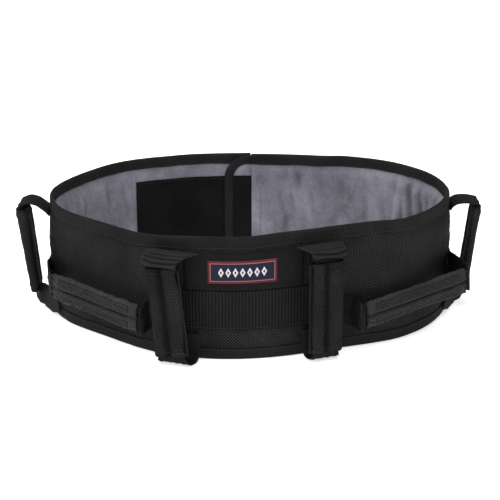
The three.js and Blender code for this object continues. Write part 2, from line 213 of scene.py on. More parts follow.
def rim_sag(s):
    """How far the rim hangs below an even height: more at the front left, a little less at the front right."""
    low = 5.2 * smoothstep(s, seam_left - 12, seam_left + 30) * (1 - smoothstep(s, sag_end - 85, sag_end))
    high = 2.3 * between(s, rise_from, rise_to, 40) + 1.3 * smoothstep(s, seam_right, seam_right + 50)
    return low - high


wall.sag = rim_sag
RANGES = {"left_wing": (0, fold_left), "belt": (fold_left, fold_right), "right_wing": (fold_right, wall.length)}


def extent(node, body="belt"):
    """A node in wall coordinates: ((s low, high), (offset low, high), (z low, high))."""
    points = node_points(node)
    s = np.array([wall.near(p, *RANGES[body]) for p in points])
    flat = (points - wall.place(s, 0, points[:, 2]))[:, :2]
    offset = np.sum(flat * wall.out(s)[:, :2], axis=1)
    return tuple((float(a.min()), float(a.max())) for a in (s, offset, points[:, 2]))


# ---- Which body each piece goes with: pieces given a body name are parented to it, the others are baked in place ----

def beside(s, step):
    return Vector(wall.place(s, 0, 60) * MM) if step == 0 else Vector(wall.place(s + step, 0, 60) * MM)


FOLD_REACH = 28


def attach(obj, how, nodes=()):
    if how == "left":
        fold = wall.place(fold_left, 0, 60)
        t = unit(wall.place(fold_left + 5, 0, 60) - wall.place(fold_left - 5, 0, 60)) * FOLD_REACH
        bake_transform(obj)
    elif how == "right":
        fold = wall.place(fold_right, 0, 60)
        t = unit(wall.place(fold_right + 5, 0, 60) - wall.place(fold_right - 5, 0, 60)) * FOLD_REACH
        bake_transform(obj)
    elif isinstance(how, tuple):
        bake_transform(obj)
    else:
        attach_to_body(obj, how)
    if nodes:
        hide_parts(*nodes)
    return obj


# ---- Meshes ----

UV_MAP = "cloth"
# Name of the mesh attribute that holds painted shade: how far each point's colour is darkened towards near black.
PAINTED_SHADE = "crease"


def build(name, points, faces, uv, material, shade=None):
    """A smooth-shaded object whose faces point outwards. uv holds one pair for each corner of each face,
    shade how deep each point lies in a crease, from 0 to 1: painted shade that darkens the colour there."""
    p = points
    quads = np.array([f[:4] for f in faces if len(f) == 4])
    a, b, c, d = (p[quads[:, k]] for k in range(4))
    volume = np.sum(np.cross(a, b) * c) + np.sum(np.cross(a, c) * d)
    uv = np.asarray(uv, float)
    if volume < 0:
        sizes = [len(f) for f in faces]
        ends = np.cumsum(sizes)
        order = np.concatenate([np.arange(e - 1, e - n - 1, -1) for e, n in zip(ends, sizes)])
        uv = uv[order]
        faces = [list(f)[::-1] for f in faces]
    mesh = bpy.data.meshes.new(name)
    mesh.from_pydata((p * MM).tolist(), [], [list(f) for f in faces])
    layer = mesh.uv_layers.new(name=UV_MAP)
    layer.data.foreach_set("uv", (uv * MM).ravel())
    mesh.polygons.foreach_set("use_smooth", [True] * len(mesh.polygons))
    if shade is not None:
        mesh.attributes.new(PAINTED_SHADE, "FLOAT", "POINT").data.foreach_set("value", np.ravel(shade))
    mesh.materials.append(material)
    mesh.update()
    mesh.set_sharp_from_angle(angle=math.radians(55))
    obj = bpy.data.objects.new(name, mesh)
    bpy.context.scene.collection.objects.link(obj)
    return obj


def tube(name, rings, material, join=False, uv=None, strip_caps=False, shade=None):
    """A closed body through rings of points, capped at both ends or joined into a loop."""
    n, m = rings.shape[:2]
    index = np.arange(n * m).reshape(n, m)
    beside_index = np.roll(index, -1, axis=1)
    rows = np.arange(n if join else n - 1)
    after = (rows + 1) % n
    quads = np.stack([index[rows], beside_index[rows], beside_index[after], index[after]], -1).reshape(-1, 4)
    if uv is None:
        steps = np.linalg.norm(np.roll(rings, -1, axis=0) - rings, axis=2).mean(1)
        along = np.concatenate([[0], np.cumsum(steps)])
        around = np.concatenate([[0], np.cumsum(np.linalg.norm(np.roll(rings, -1, axis=1) - rings, axis=2).mean(0))])
        u0, u1 = np.meshgrid(along[rows], around[:-1], indexing="ij")[0], np.meshgrid(along[rows + 1], around[:-1], indexing="ij")[0]
        v0 = np.broadcast_to(around[:-1], u0.shape)
        v1 = np.broadcast_to(around[1:], u0.shape)
        loops = np.stack([np.stack([u0, v0], -1), np.stack([u0, v1], -1), np.stack([u1, v1], -1), np.stack([u1, v0], -1)], 2)
        loops = loops.reshape(-1, 2)
        vertex_uv = np.stack(np.meshgrid(along[:n], around[:m], indexing="ij"), -1).reshape(-1, 2)
    else:
        vertex_uv = uv.reshape(-1, 2)
        loops = vertex_uv[quads.ravel()]
    faces = quads.tolist()
    if not join:
        for end, flip in ((0, True), (n - 1, False)):
            ring = index[end]
            if strip_caps:
                half = m // 2
                for j in range(half - 1):
                    cap = [ring[j], ring[j + 1], ring[m - 2 - j], ring[m - 1 - j]]
                    cap = cap[::-1] if flip else cap
                    faces.append([int(k) for k in cap])
                    loops = np.vstack([loops, vertex_uv[cap]])
            else:
                cap = list(ring[::-1] if flip else ring)
                faces.append([int(k) for k in cap])
                loops = np.vstack([loops, vertex_uv[cap]])
    return build(name, rings.reshape(-1, 3), faces, loops, material, shade)


def slab(name, s, z, outer, inner, material, origin=(0, 0), shade=None):
    """A closed layer of the wall. outer and inner are offsets on the grid of s and z."""
    S, Z = np.meshgrid(s, z, indexing="ij")
    outer = np.broadcast_to(outer, S.shape).copy()
    inner = np.broadcast_to(inner, S.shape).copy()
    ease = np.minimum(0.25, (outer - inner) * 0.3)
    edge = np.zeros(S.shape, bool)
    edge[[0, -1], :] = True
    edge[:, [0, -1]] = True
    outer = np.where(edge, outer - ease, outer)
    inner = np.where(edge, inner + ease, inner)
    rings = np.concatenate([wall.place(S, outer, Z), wall.place(S, inner, Z)[:, ::-1]], axis=1)
    flat = np.stack([S - origin[0], Z - origin[1]], -1)
    uv = np.concatenate([flat, flat[:, ::-1]], axis=1)
    if shade is not None:
        shade = np.concatenate([shade, shade[:, ::-1]], axis=1)
    return tube(name, rings, material, uv=uv, strip_caps=True, shade=shade)


def band_section(width, thickness, across=11, crown=0.0):
    """A flat band's outline: across, normal. Its edges are round and its faces may be slightly crowned."""
    half = width / 2 - thickness / 2
    x = np.linspace(-half, half, across)
    y = thickness / 2 + crown * (1 - (x / half) ** 2)
    turn = np.linspace(math.pi / 2, -math.pi / 2, 5)[1:-1]
    right = np.stack([half + thickness / 2 * np.cos(turn), thickness / 2 * np.sin(turn)], -1)
    top = np.stack([x, y], -1)
    return np.vstack([top, right, -top, -right])


def band(name, path, across, width, thickness, material, lift=None, crown=0.0, points=11):
    """A strap along a path. width may change along it, and lift(t, x) moves the cloth along its normal;
    where it moves it down, the crease gets painted shade."""
    tangent = unit(np.gradient(path, axis=0))
    across = np.broadcast_to(across, path.shape)
    across = unit(across - np.sum(across * tangent, -1, keepdims=True) * tangent)
    normal = np.cross(across, tangent)
    width = np.broadcast_to(width, (len(path),))
    flat = band_section(float(width.max()), thickness, points, crown)
    scale = width / width.max()
    x = flat[None, :, 0] * scale[:, None]
    y = np.broadcast_to(flat[None, :, 1], x.shape).copy()
    shade = None
    if lift is not None:
        t = np.linspace(0, 1, len(path))[:, None]
        moved = lift(t, x)
        y += moved
        # Painted shade in the creases, deepest where the cloth is pushed furthest down.
        shade = np.clip(-0.6 * moved / np.abs(moved).max(), 0, 1)
    rings = path[:, None] + across[:, None] * x[..., None] + normal[:, None] * y[..., None]
    return tube(name, rings, material, shade=shade)


def densify(grid, axis, closed):
    """Twice as many points along one axis, on a smooth curve through the old ones."""
    g = np.moveaxis(grid, axis, 0)
    if closed:
        before, after, after2 = np.roll(g, 1, 0), np.roll(g, -1, 0), np.roll(g, -2, 0)
        mid = (9 * (g + after) - before - after2) / 16
        both = np.stack([g, mid], 1).reshape((-1,) + g.shape[1:])
    else:
        pad = np.concatenate([2 * g[:1] - g[1:2], g, 2 * g[-1:] - g[-2:-1]])
        mid = (9 * (pad[1:-2] + pad[2:-1]) - pad[:-3] - pad[3:]) / 16
        both = np.stack([g[:-1], mid], 1).reshape((-1,) + g.shape[1:])
        both = np.concatenate([both, g[-1:]])
    return np.moveaxis(both, 0, axis)


def stitches(name, rows, material, pitch=3.6, length=2.5, radius=0.32):
    """Sewing thread: one short dash after another along each row, a list of (points, normals)."""
    points, faces = [], []
    count = 0
    for path, normals in rows:
        path = np.asarray(path, float)
        reach = np.concatenate([[0], np.cumsum(np.linalg.norm(np.diff(path, axis=0), axis=1))])
        number = int(reach[-1] / pitch)
        if number < 1:
            continue
        middle = (np.arange(number) + 0.5) * reach[-1] / number
        centre, ahead, normal = (
            np.stack([np.interp(at, reach, data[:, k]) for k in range(3)], -1)
            for at, data in ((middle, path), (middle + 0.5, path), (middle, np.broadcast_to(normals, path.shape)))
        )
        behind = np.stack([np.interp(middle - 0.5, reach, path[:, k]) for k in range(3)], -1)
        tangent = unit(ahead - behind)
        normal = unit(normal - np.sum(normal * tangent, -1, keepdims=True) * tangent)
        side = np.cross(tangent, normal)
        rings = []
        for step, size, sink in ((-0.5, 0.45, -0.22), (-0.28, 1.0, 0.0), (0.28, 1.0, 0.0), (0.5, 0.45, -0.22)):
            at = centre + tangent * (step * length) + normal * sink
            for a, b in ((1, 0), (0, 1), (-1, 0), (0, -1)):
                rings.append(at + side * (a * radius * size) + normal * (b * radius * 0.8 * size))
        block = np.stack(rings, 1)
        points.append(block.reshape(-1, 3))
        base = count + np.arange(number)[:, None] * 16
        for r in range(3):
            for k in range(4):
                a, b = r * 4 + k, r * 4 + (k + 1) % 4
                faces.append(np.stack([base[:, 0] + a, base[:, 0] + b, base[:, 0] + b + 4, base[:, 0] + a + 4], -1))
        faces.append(np.stack([base[:, 0] + k for k in (3, 2, 1, 0)], -1))
        faces.append(np.stack([base[:, 0] + k for k in (12, 13, 14, 15)], -1))
        count += number * 16
    points = np.vstack(points)
    faces = np.vstack(faces)
    uv = np.tile(np.array([[0, 0], [0.5, 0], [0.5, 2.5], [0, 2.5]], float), (len(faces), 1))
    return build(name, points, faces.tolist(), uv, material)


# ---- Materials ----

class Cloth:
    """A Principled material and the few node calls that every cloth here is made of."""

    def __init__(self, name, grazing_shade=0.0):
        """How much darker the base colour is painted at a grazing angle: painted shade between the cloth's upright
        yarns.
        """
        self.material = bpy.data.materials.new(name)
        self.material.use_nodes = True
        self.tree = self.material.node_tree
        self.tree.nodes.clear()
        self.shader = self.node("ShaderNodeBsdfPrincipled")
        output = self.node("ShaderNodeOutputMaterial")
        self.tree.links.new(self.shader.outputs[0], output.inputs["Surface"])
        uv = self.node("ShaderNodeUVMap")
        uv.uv_map = UV_MAP
        split = self.node("ShaderNodeSeparateXYZ")
        self.tree.links.new(uv.outputs[0], split.inputs[0])
        self.u = self.math("MULTIPLY", split.outputs[0], 1 / MM)
        self.v = self.math("MULTIPLY", split.outputs[1], 1 / MM)
        self.place = self.node("ShaderNodeTexCoord").outputs["Object"]
        # Painted shade: the crease attribute on the mesh and a grazing angle darken the base colour; open is how much
        # of the colour is left.
        crease = self.node("ShaderNodeAttribute", attribute_name=PAINTED_SHADE).outputs["Fac"]
        facing = self.node("ShaderNodeLayerWeight").outputs["Facing"]
        grazing = self.math("MULTIPLY_ADD", facing, -grazing_shade, 1.0)
        self.open = self.math("MULTIPLY", self.math("MULTIPLY_ADD", crease, -0.8, 1.0), grazing)

    def node(self, kind, **settings):
        made = self.tree.nodes.new(kind)
        for key, value in settings.items():
            setattr(made, key, value)
        return made

    def put(self, socket, value):
        if isinstance(value, bpy.types.NodeSocket):
            self.tree.links.new(value, socket)
        else:
            socket.default_value = value

    def math(self, operation, a, b=0.0, c=0.0):
        made = self.node("ShaderNodeMath", operation=operation)
        for socket, value in zip(made.inputs, (a, b, c)):
            self.put(socket, value)
        return made.outputs[0]

    def mix(self, share, a, b):
        """Between two numbers."""
        return self.math("ADD", self.math("MULTIPLY", self.math("SUBTRACT", b, a), share), a)

    def colour(self, share, a, b):
        made = self.node("ShaderNodeMix", data_type="RGBA")
        self.put(made.inputs[0], share)
        self.put(made.inputs[6], (*a, 1) if isinstance(a, tuple) else a)
        self.put(made.inputs[7], (*b, 1) if isinstance(b, tuple) else b)
        return made.outputs[2]

    def noise(self, size, detail=2.0, rough=0.5, low=0.0, high=1.0):
        """Uneven patches about size millimetres wide, from low to high."""
        made = self.node("ShaderNodeTexNoise")
        self.put(made.inputs["Vector"], self.place)
        self.put(made.inputs["Scale"], 1 / (size * MM))
        self.put(made.inputs["Detail"], detail)
        self.put(made.inputs["Roughness"], rough)
        spread = self.node("ShaderNodeMapRange", clamp=True)
        self.put(spread.inputs[0], made.outputs[0])
        for socket, value in zip(spread.inputs[1:5], (0.32, 0.68, low, high)):
            self.put(socket, value)
        return spread.outputs[0]

    def wave(self, value, period, phase=0.0):
        """0 to 1 and back over each period."""
        turned = self.math("MULTIPLY_ADD", value, 2 * math.pi / period, phase)
        return self.math("MULTIPLY_ADD", self.math("SINE", turned), 0.5, 0.5)

    def weave(self, yarn, float_over=1, under=0.03):
        """Yarns that cross over and under: 1 on a crest, 0 in the gaps between them. The second value is
        the tone: the yarns of one direction catch less light, down to under."""
        x = self.math("DIVIDE", self.u, yarn)
        y = self.math("DIVIDE", self.v, yarn)
        cell = self.math("ADD", self.math("FLOOR", x), self.math("FLOOR", y))
        over = self.math("LESS_THAN", self.math("FLOORED_MODULO", cell, 2.0 * float_over), float_over - 0.5)
        warp = self.math("ABSOLUTE", self.math("SINE", self.math("MULTIPLY", x, math.pi)))
        weft = self.math("ABSOLUTE", self.math("SINE", self.math("MULTIPLY", y, math.pi)))
        long_warp = self.math("MULTIPLY_ADD", weft, 0.45, 0.55)
        long_weft = self.math("MULTIPLY_ADD", warp, 0.45, 0.55)
        crest = self.mix(over, self.math("MULTIPLY", weft, long_weft), self.math("MULTIPLY", warp, long_warp))
        return crest, self.math("MULTIPLY", crest, self.math("MULTIPLY_ADD", over, 1 - under, under))

    def finish(self, colour, roughness, height, depth, strength=0.6, sheen=0.0, specular=0.05):
        # Painted shade: the base colour is mixed towards near black where open is low.
        self.put(self.shader.inputs["Base Color"], self.colour(self.open, (0.0005, 0.0005, 0.0006), colour))
        self.put(self.shader.inputs["Roughness"], roughness)
        self.put(self.shader.inputs["Specular IOR Level"], specular)
        self.put(self.shader.inputs["Sheen Weight"], sheen)
        self.put(self.shader.inputs["Sheen Roughness"], 0.5)
        bump = self.node("ShaderNodeBump")
        self.put(bump.inputs["Strength"], strength)
        self.put(bump.inputs["Distance"], depth * MM)
        self.put(bump.inputs["Height"], height)
        self.put(self.shader.inputs["Normal"], bump.outputs[0])
        return self.material


def woven_nylon(name, yarn, dark, light, worn, float_over=1, roughness=(0.5, 0.78), grazing_shade=0.0):
    c = Cloth(name, grazing_shade)
    crest, lit = c.weave(yarn, float_over)
    patches = c.noise(28, 3, 0.6)
    lint = c.noise(1.6, 2, 0.7)
    tone = c.math("MULTIPLY", c.mix(patches, 0.75, 1.1), c.math("POWER", lit, 1.2))
    base = c.colour(tone, dark, light)
    wear = c.math("MULTIPLY", c.math("MULTIPLY", crest, lint), c.noise(45, 2, 0.5, 0.0, 0.5))
    colour = c.colour(wear, base, worn)
    rough = c.mix(crest, roughness[1], roughness[0])
    height = c.math("MULTIPLY_ADD", c.noise(0.7, 2, 0.5), 0.25, crest)
    return c.finish(colour, rough, height, 0.35, 0.8)


def ribbed_tape(name, rib, dark, light, across_ribs=True, depth=0.25, fine=0.55, grazing_shade=0.0):
    """Ribs that run across the tape, with fine threads over them."""
    c = Cloth(name, grazing_shade)
    along, aside = (c.u, c.v) if across_ribs else (c.v, c.u)
    wobble = c.math("MULTIPLY_ADD", c.noise(9, 2, 0.5), 0.35, along)
    ribs = c.wave(wobble, rib)
    threads = c.wave(c.math("ADD", aside, c.math("MULTIPLY", along, 0.5)), fine * 2)
    height = c.math("MULTIPLY_ADD", threads, 0.3, ribs)
    tone = c.math("MULTIPLY", c.math("MULTIPLY_ADD", ribs, 0.7, c.math("MULTIPLY", threads, 0.3)), c.noise(22, 3, 0.6, 0.7, 1.1))
    colour = c.colour(tone, dark, light)
    rough = c.mix(ribs, 0.8, 0.55)
    return c.finish(colour, rough, height, depth, 0.8)


def brushed_lining(name):
    c = Cloth(name)
    blotches = c.noise(38, 4, 0.62)
    nap = c.noise(2.2, 3, 0.7)
    knit = c.math("MULTIPLY", c.wave(c.u, 0.9), c.wave(c.v, 1.1))
    tone = c.math("MULTIPLY_ADD", nap, 0.25, c.math("MULTIPLY_ADD", knit, 0.12, c.math("MULTIPLY", blotches, 0.63)))
    colour = c.colour(tone, (0.07, 0.068, 0.083), (0.225, 0.217, 0.26))
    height = c.math("MULTIPLY_ADD", knit, 0.5, nap)
    return c.finish(colour, c.mix(nap, 0.97, 0.85), height, 0.25, 0.6, sheen=0.1, specular=0.1)


def loop_pile(name, dark, light):
    c = Cloth(name)
    loops = c.node("ShaderNodeTexVoronoi")
    c.put(loops.inputs["Vector"], c.place)
    c.put(loops.inputs["Scale"], 1 / (0.9 * MM))
    rows = c.wave(c.u, 1.7)
    height = c.math("MULTIPLY_ADD", rows, 0.3, c.math("SUBTRACT", 1.0, loops.outputs[0]))
    pressed = c.noise(34, 1, 0.4)
    tone = c.math("MULTIPLY", c.math("MULTIPLY", height, 0.8), c.mix(pressed, 0.5, 1.0))
    return c.finish(c.colour(tone, dark, light), c.mix(pressed, 0.95, 0.8), height, 0.35, 0.7, specular=0.08)


def open_foam(name):
    c = Cloth(name)
    cells = c.node("ShaderNodeTexVoronoi", feature="DISTANCE_TO_EDGE")
    c.put(cells.inputs["Vector"], c.place)
    c.put(cells.inputs["Scale"], 1 / (1.1 * MM))
    tone = c.math("MULTIPLY", cells.outputs[0], c.noise(12, 2, 0.5, 0.7, 1.0))
    return c.finish(c.colour(tone, (0.4, 0.37, 0.3), (0.62, 0.6, 0.52)), 0.92, cells.outputs[0], 0.4, 0.5)


def sewing_thread(name, dark, light):
    c = Cloth(name)
    ply = c.wave(c.math("ADD", c.v, c.u), 0.7)
    tone = c.math("MULTIPLY", ply, c.noise(15, 2, 0.5, 0.6, 1.0))
    return c.finish(c.colour(tone, dark, light), 0.5, ply, 0.1, 0.5, specular=0.2)


def woven_label(name, width, height):
    """Generic: a red border with one light line, a navy field and a plain row of white lozenges."""
    c = Cloth(name)
    from_edge = c.math(
        "MINIMUM",
        c.math("MINIMUM", c.u, c.math("SUBTRACT", width, c.u)),
        c.math("MINIMUM", c.v, c.math("SUBTRACT", height, c.v)),
    )
    threads = c.math("MULTIPLY", c.wave(c.u, 0.55), c.wave(c.v, 0.8))
    red = c.colour(threads, (0.05, 0.004, 0.008), (0.19, 0.014, 0.026))
    navy = c.colour(threads, (0.001, 0.002, 0.009), (0.005, 0.009, 0.036))
    pale = c.colour(threads, (0.42, 0.36, 0.4), (0.8, 0.76, 0.78))
    field = c.colour(c.math("GREATER_THAN", from_edge, 3.0), red, navy)
    line = c.math("COMPARE", from_edge, 2.3, 0.25)
    colour = c.colour(c.math("MULTIPLY", line, 0.3), field, pale)
    pitch = 6.4
    first = (width - 7 * pitch) / 2
    x = c.math("SUBTRACT", c.math("FLOORED_MODULO", c.math("SUBTRACT", c.u, first), pitch), pitch / 2)
    y = c.math("SUBTRACT", c.v, height / 2)
    lozenge = c.math("ADD", c.math("DIVIDE", c.math("ABSOLUTE", x), 2.5), c.math("DIVIDE", c.math("ABSOLUTE", y), 4.6))
    inside = c.math("MULTIPLY", c.math("LESS_THAN", lozenge, 1.0), c.math("GREATER_THAN", lozenge, 0.38))
    in_row = c.math("LESS_THAN", c.math("ABSOLUTE", c.math("SUBTRACT", c.u, width / 2)), 3.5 * pitch)
    colour = c.colour(c.math("MULTIPLY", inside, in_row), colour, pale)
    raised = c.math("MULTIPLY_ADD", inside, 0.8, threads)
    return c.finish(colour, 0.6, raised, 0.18, 0.6, specular=0.2)


# Shell, grip and strap cloth are painted darker at a grazing angle: painted shade between their upright yarns.
shell_cloth = woven_nylon("shell_nylon", 1.5, (0.0008, 0.0008, 0.0008), (0.041, 0.042, 0.041), (0.06, 0.061, 0.06), grazing_shade=0.75)
grip_cloth = woven_nylon("grip_nylon", 1.45, (0.0008, 0.0008, 0.0008), (0.036, 0.037, 0.036), (0.065, 0.066, 0.065), grazing_shade=0.7)
flank_cloth = woven_nylon("flank_nylon", 1.1, (0.014, 0.0143, 0.014), (0.056, 0.057, 0.056), (0.075, 0.076, 0.075))
panel_cloth = woven_nylon("panel_cloth", 0.9, (0.002, 0.002, 0.002), (0.022, 0.022, 0.022), (0.03, 0.03, 0.03))
tape_cloth = woven_nylon("binding_tape", 1.1, (0.0035, 0.0035, 0.0035), (0.027, 0.0275, 0.027), (0.045, 0.046, 0.045), roughness=(0.6, 0.85))
webbing_cloth = ribbed_tape("front_webbing_cloth", 3.0, (0.003, 0.003, 0.003), (0.014, 0.014, 0.014), depth=0.4)
strap_cloth = ribbed_tape("strap_webbing", 1.3, (0.001, 0.001, 0.001), (0.022, 0.0225, 0.022), fine=0.5, grazing_shade=0.7)
flap_cloth = ribbed_tape("anchor_webbing", 1.9, (0.003, 0.003, 0.003), (0.027, 0.0275, 0.027), across_ribs=False)
lining_cloth = brushed_lining("brushed_lining")
loop_cloth = loop_pile("loop_pile", (0.0015, 0.0016, 0.0018), (0.006, 0.0065, 0.007))
hook_cloth = loop_pile("hook_pile", (0.001, 0.001, 0.001), (0.005, 0.005, 0.005))
foam_cloth = open_foam("padding_foam")
dark_thread = sewing_thread("dark_thread", (0.0005, 0.0005, 0.0006), (0.004, 0.004, 0.0045))
black_thread = sewing_thread("black_thread", (0.003, 0.003, 0.003), (0.02, 0.02, 0.02))
worn_thread = sewing_thread("worn_thread", (0.012, 0.012, 0.012), (0.05, 0.05, 0.05))
grey_thread = sewing_thread("grey_thread", (0.05, 0.048, 0.058), (0.13, 0.126, 0.15))


# ---- Grips as they stand in the CAD ----

class Grip:
    def __init__(self, name):
        core = node_points(name + "_core")
        self.name = name
        self.centre = core.mean(0)
        axes = np.linalg.svd(core - self.centre)[2]
        self.s = wall.near(self.centre, *RANGES["belt"])
        out = wall.out(self.s)
        self.face = axes[2] * np.sign(axes[2] @ out)
        self.along = axes[0] * np.sign(axes[0][2] if abs(axes[0][2]) > 0.7 else axes[0][1])
        self.across = np.cross(self.face, self.along)
        sleeve = node_points(name + "_grip") - self.centre
        self.low, self.high = (float(f(sleeve @ self.along)) for f in (np.min, np.max))
        self.width, self.thickness = (float(np.ptp(sleeve @ axis)) for axis in (self.across, self.face))
        self.body = name + "_handle"

    def at(self, t, x=0.0, y=0.0):
        t, x, y = np.broadcast_arrays(*(np.asarray(a, float) for a in (t, x, y)))
        return self.centre + self.along * t[..., None] + self.across * x[..., None] + self.face * y[..., None]


UPRIGHT = ("front_left", "front_right", "left_side", "right_side")
FLANK = ("left_flank", "right_flank")
SIDE = ("left_side", "right_side")
grips = {name: Grip(name) for name in UPRIGHT + FLANK}


# ---- Cloth simulation ----

class Sheet:
    """A grid of cloth to swell. pinned marks the points that are sewn down."""

    def __init__(self, name, grid, pinned, pressure, cap, closed=False, outward=None):
        self.name, self.grid, self.pinned, self.pressure, self.cap = name, grid, pinned, pressure, cap
        self.closed, self.outward = closed, outward


def swell(sheets):
    """Runs Blender's cloth on all the sheets together and leaves each one's moved grid in .result."""
    scene = bpy.context.scene
    scene.frame_start, scene.frame_end = 1, 20
    made = []
    for sheet in sheets:
        n, m = sheet.grid.shape[:2]
        index = np.arange(n * m).reshape(n, m)
        right = np.roll(index, -1, axis=1)
        columns = slice(None) if sheet.closed else slice(0, m - 1)
        quads = np.stack([index[:-1, columns], right[:-1, columns], right[1:, columns], index[1:, columns]], -1).reshape(-1, 4)
        p = sheet.grid.reshape(-1, 3)
        normal = np.cross(p[quads[:, 1]] - p[quads[:, 0]], p[quads[:, 3]] - p[quads[:, 0]])
        middle = p[quads].mean(1)
        if np.sum(normal * sheet.outward(middle)) < 0:
            quads = quads[:, ::-1]
        mesh = bpy.data.meshes.new("swell_" + sheet.name)
        mesh.from_pydata((p * MM).tolist(), [], quads.tolist())
        obj = bpy.data.objects.new("swell_" + sheet.name, mesh)
        scene.collection.objects.link(obj)
        group = obj.vertex_groups.new(name="sewn")
        group.add([int(i) for i in np.flatnonzero(sheet.pinned.ravel())], 1.0, "REPLACE")
        cloth = obj.modifiers.new("Cloth", "CLOTH")
        settings = cloth.settings
        settings.quality = 5
        settings.mass = 0.3
        settings.vertex_group_mass = "sewn"
        settings.effector_weights.gravity = 0
        settings.use_pressure = True
        settings.uniform_pressure_force = sheet.pressure
        settings.tension_stiffness = settings.compression_stiffness = 20
        settings.shear_stiffness = 8
        settings.bending_stiffness = 0.4
        settings.shrink_min = -0.03
        cloth.point_cache.frame_start, cloth.point_cache.frame_end = 1, 20
        made.append(obj)
    for number in range(1, 21):
        scene.frame_set(number)
    graph = bpy.context.evaluated_depsgraph_get()
    for sheet, obj in zip(sheets, made):
        mesh = obj.evaluated_get(graph).data
        co = np.zeros(len(mesh.vertices) * 3)
        mesh.vertices.foreach_get("co", co)
        moved = co.reshape(sheet.grid.shape) / MM - sheet.grid
        reach = np.linalg.norm(moved, axis=-1, keepdims=True) + 1e-9
        sheet.result = sheet.grid + moved / reach * sheet.cap * np.tanh(reach / sheet.cap)
    for obj in made:
        mesh = obj.data
        bpy.data.objects.remove(obj)
        bpy.data.meshes.remove(mesh)
    scene.frame_set(1)


# ---- Sleeves before they swell ----

def sleeve_outline(half_width, half_thickness, points, square=0.72):
    turn = np.arange(points) / points * 2 * math.pi
    c, s = np.cos(turn), np.sin(turn)
    x = half_width * np.sign(c) * np.abs(c) ** square
    y = half_thickness * np.sign(s) * np.abs(s) ** 0.85
    return x, y


# The quilting grooves along a sleeve: place across it, share of the thickness they take, half width.
GROOVES = {
    "upright": ((0.8, 0.66, 3.0),),
    "side": ((0.8, 0.35, 2.6),),
    "flank": ((0.0, 0.5, 1.7), (-6.6, 0.1, 1.0), (6.6, 0.1, 1.0)),
}
HEM = {"upright": 4.0, "side": 4.0, "flank": 8.5}
HEM_PINCH = {"upright": 0.04, "side": 0.03, "flank": 0.22}
SWELL = {"upright": 1.9, "side": 0.4, "flank": 1.1}


def sleeve_sheet(grip):
    kind = "flank" if grip.name in FLANK else "side" if grip.name in SIDE else "upright"
    points = 52
    if kind == "side":
        grip.high += 3.5
    t = np.linspace(grip.low, grip.high, int((grip.high - grip.low) / 2.2) + 1)
    x, y = sleeve_outline(grip.width / 2 - 0.8, grip.thickness / 2 - 0.5, points)
    for place, depth, reach in GROOVES[kind]:
        y = y * (1 - depth * np.exp(-(((x - place) / reach) ** 2)))
    if kind == "flank":
        y = np.where(y < 0, y * 0.8, y)
    T, X = np.meshgrid(t, x, indexing="ij")
    Y = np.broadcast_to(y, T.shape).copy()
    to_end = np.minimum(T - grip.low, grip.high - T)
    Y *= 1 - HEM_PINCH[kind] * np.exp(-(((to_end - HEM[kind]) / 2.2) ** 2)) - 0.12 * np.exp(-((to_end / 3.0) ** 2))
    if kind == "flank":
        X = X * (1.0 + (0.06 if grip.name == "left_flank" else 0.0) * smoothstep(-T, -grip.high, -grip.low) + 0.02)
        Y *= 1 - 0.3 * (1 - smoothstep(to_end, 3, HEM[kind]))
    elif kind == "side":
        Y *= 1.0 + 0.28 * smoothstep(T, grip.low, grip.high) if grip.name == "left_side" else 0.88
    grid = grip.at(T, X, Y)
    pinned = to_end < 1.0
    if kind == "flank":
        pinned |= np.abs(to_end - HEM[kind]) < 1.2
    for place, depth, _ in GROOVES[kind]:
        if depth > 0.3:
            pinned |= (np.abs(X - place) < 0.9) & (Y > 0)
        else:
            pinned |= (np.abs(X - place) < 0.55) & (Y > 0)
    sheet = Sheet(
        grip.name, grid, pinned, 9.0, SWELL[kind], closed=True,
        outward=lambda p, g=grip: (p - g.centre) - np.outer((p - g.centre) @ g.along, g.along),
    )
    sheet.grip, sheet.t, sheet.x = grip, t, x
    return sheet


sleeve_sheets = [sleeve_sheet(grip) for grip in grips.values()]

# ---- The wall's two faces before they swell ----

webbing_at = extent("front_webbing")
overlay_at = extent("front_label_panel")
label_at = extent("label_patch")
loop_at = extent("left_wing_loop_panel", "left_wing")
flank_sewn = {}
for name in FLANK:
    for end in ("front", "rear"):
        points = node_points(f"{name}_{end}_tab")
        s = np.array([wall.near(p, *RANGES["belt"]) for p in points])
        offset = np.sum((points - wall.place(s, 0, points[:, 2]))[:, :2] * wall.out(s)[:, :2], axis=1)
        close = offset < 3.4
        flank_sewn[name, end] = (float(s[close].min()), float(s[close].max()), float(points[:, 2].mean()))

HEIGHT = cad_box[1][2] / MM
TAPE_DEPTH = 12.5
SHELL, LINING_INNER = 1.0, -6.6
s_grid = np.linspace(0, wall.length, int(wall.length / 3.0))
z_grid = np.linspace(1, HEIGHT - 1, 32)
S, Z = np.meshgrid(s_grid, z_grid, indexing="ij")
under_tape = (Z < TAPE_DEPTH + 1) | (Z > HEIGHT - TAPE_DEPTH - 1)
sewn_outside = under_tape.copy()
for at in (webbing_at, overlay_at):
    sewn_outside |= (between(S, *at[0], 0.5) * between(Z, *at[2], 0.5)) > 0.5
for name in UPRIGHT:
    sewn_outside |= (np.abs(S - grips[name].s) < 14) & ((Z > 84) | (Z < 28))
for low, high, middle in flank_sewn.values():
    sewn_outside |= (S > low - 2) & (S < high + 2) & (np.abs(Z - middle) < 14)
sewn_inside = under_tape | (S < 2) | (S > wall.length - 12) | ((np.abs(S - loop_at[0][1]) < 3) & (Z > 20) & (Z < 100))


def loop_out(p):
    return np.stack([p[:, 0], p[:, 1], 0 * p[:, 0]], -1)


cover_sheet = Sheet("cover", wall.place(S, 0, Z), sewn_outside, 1.0, 1.3, outward=loop_out)
lining_sheet = Sheet("lining", wall.place(S, LINING_INNER, Z), sewn_inside, 1.0, 2.0, outward=lambda p: -loop_out(p))

swell(sleeve_sheets + [cover_sheet, lining_sheet])


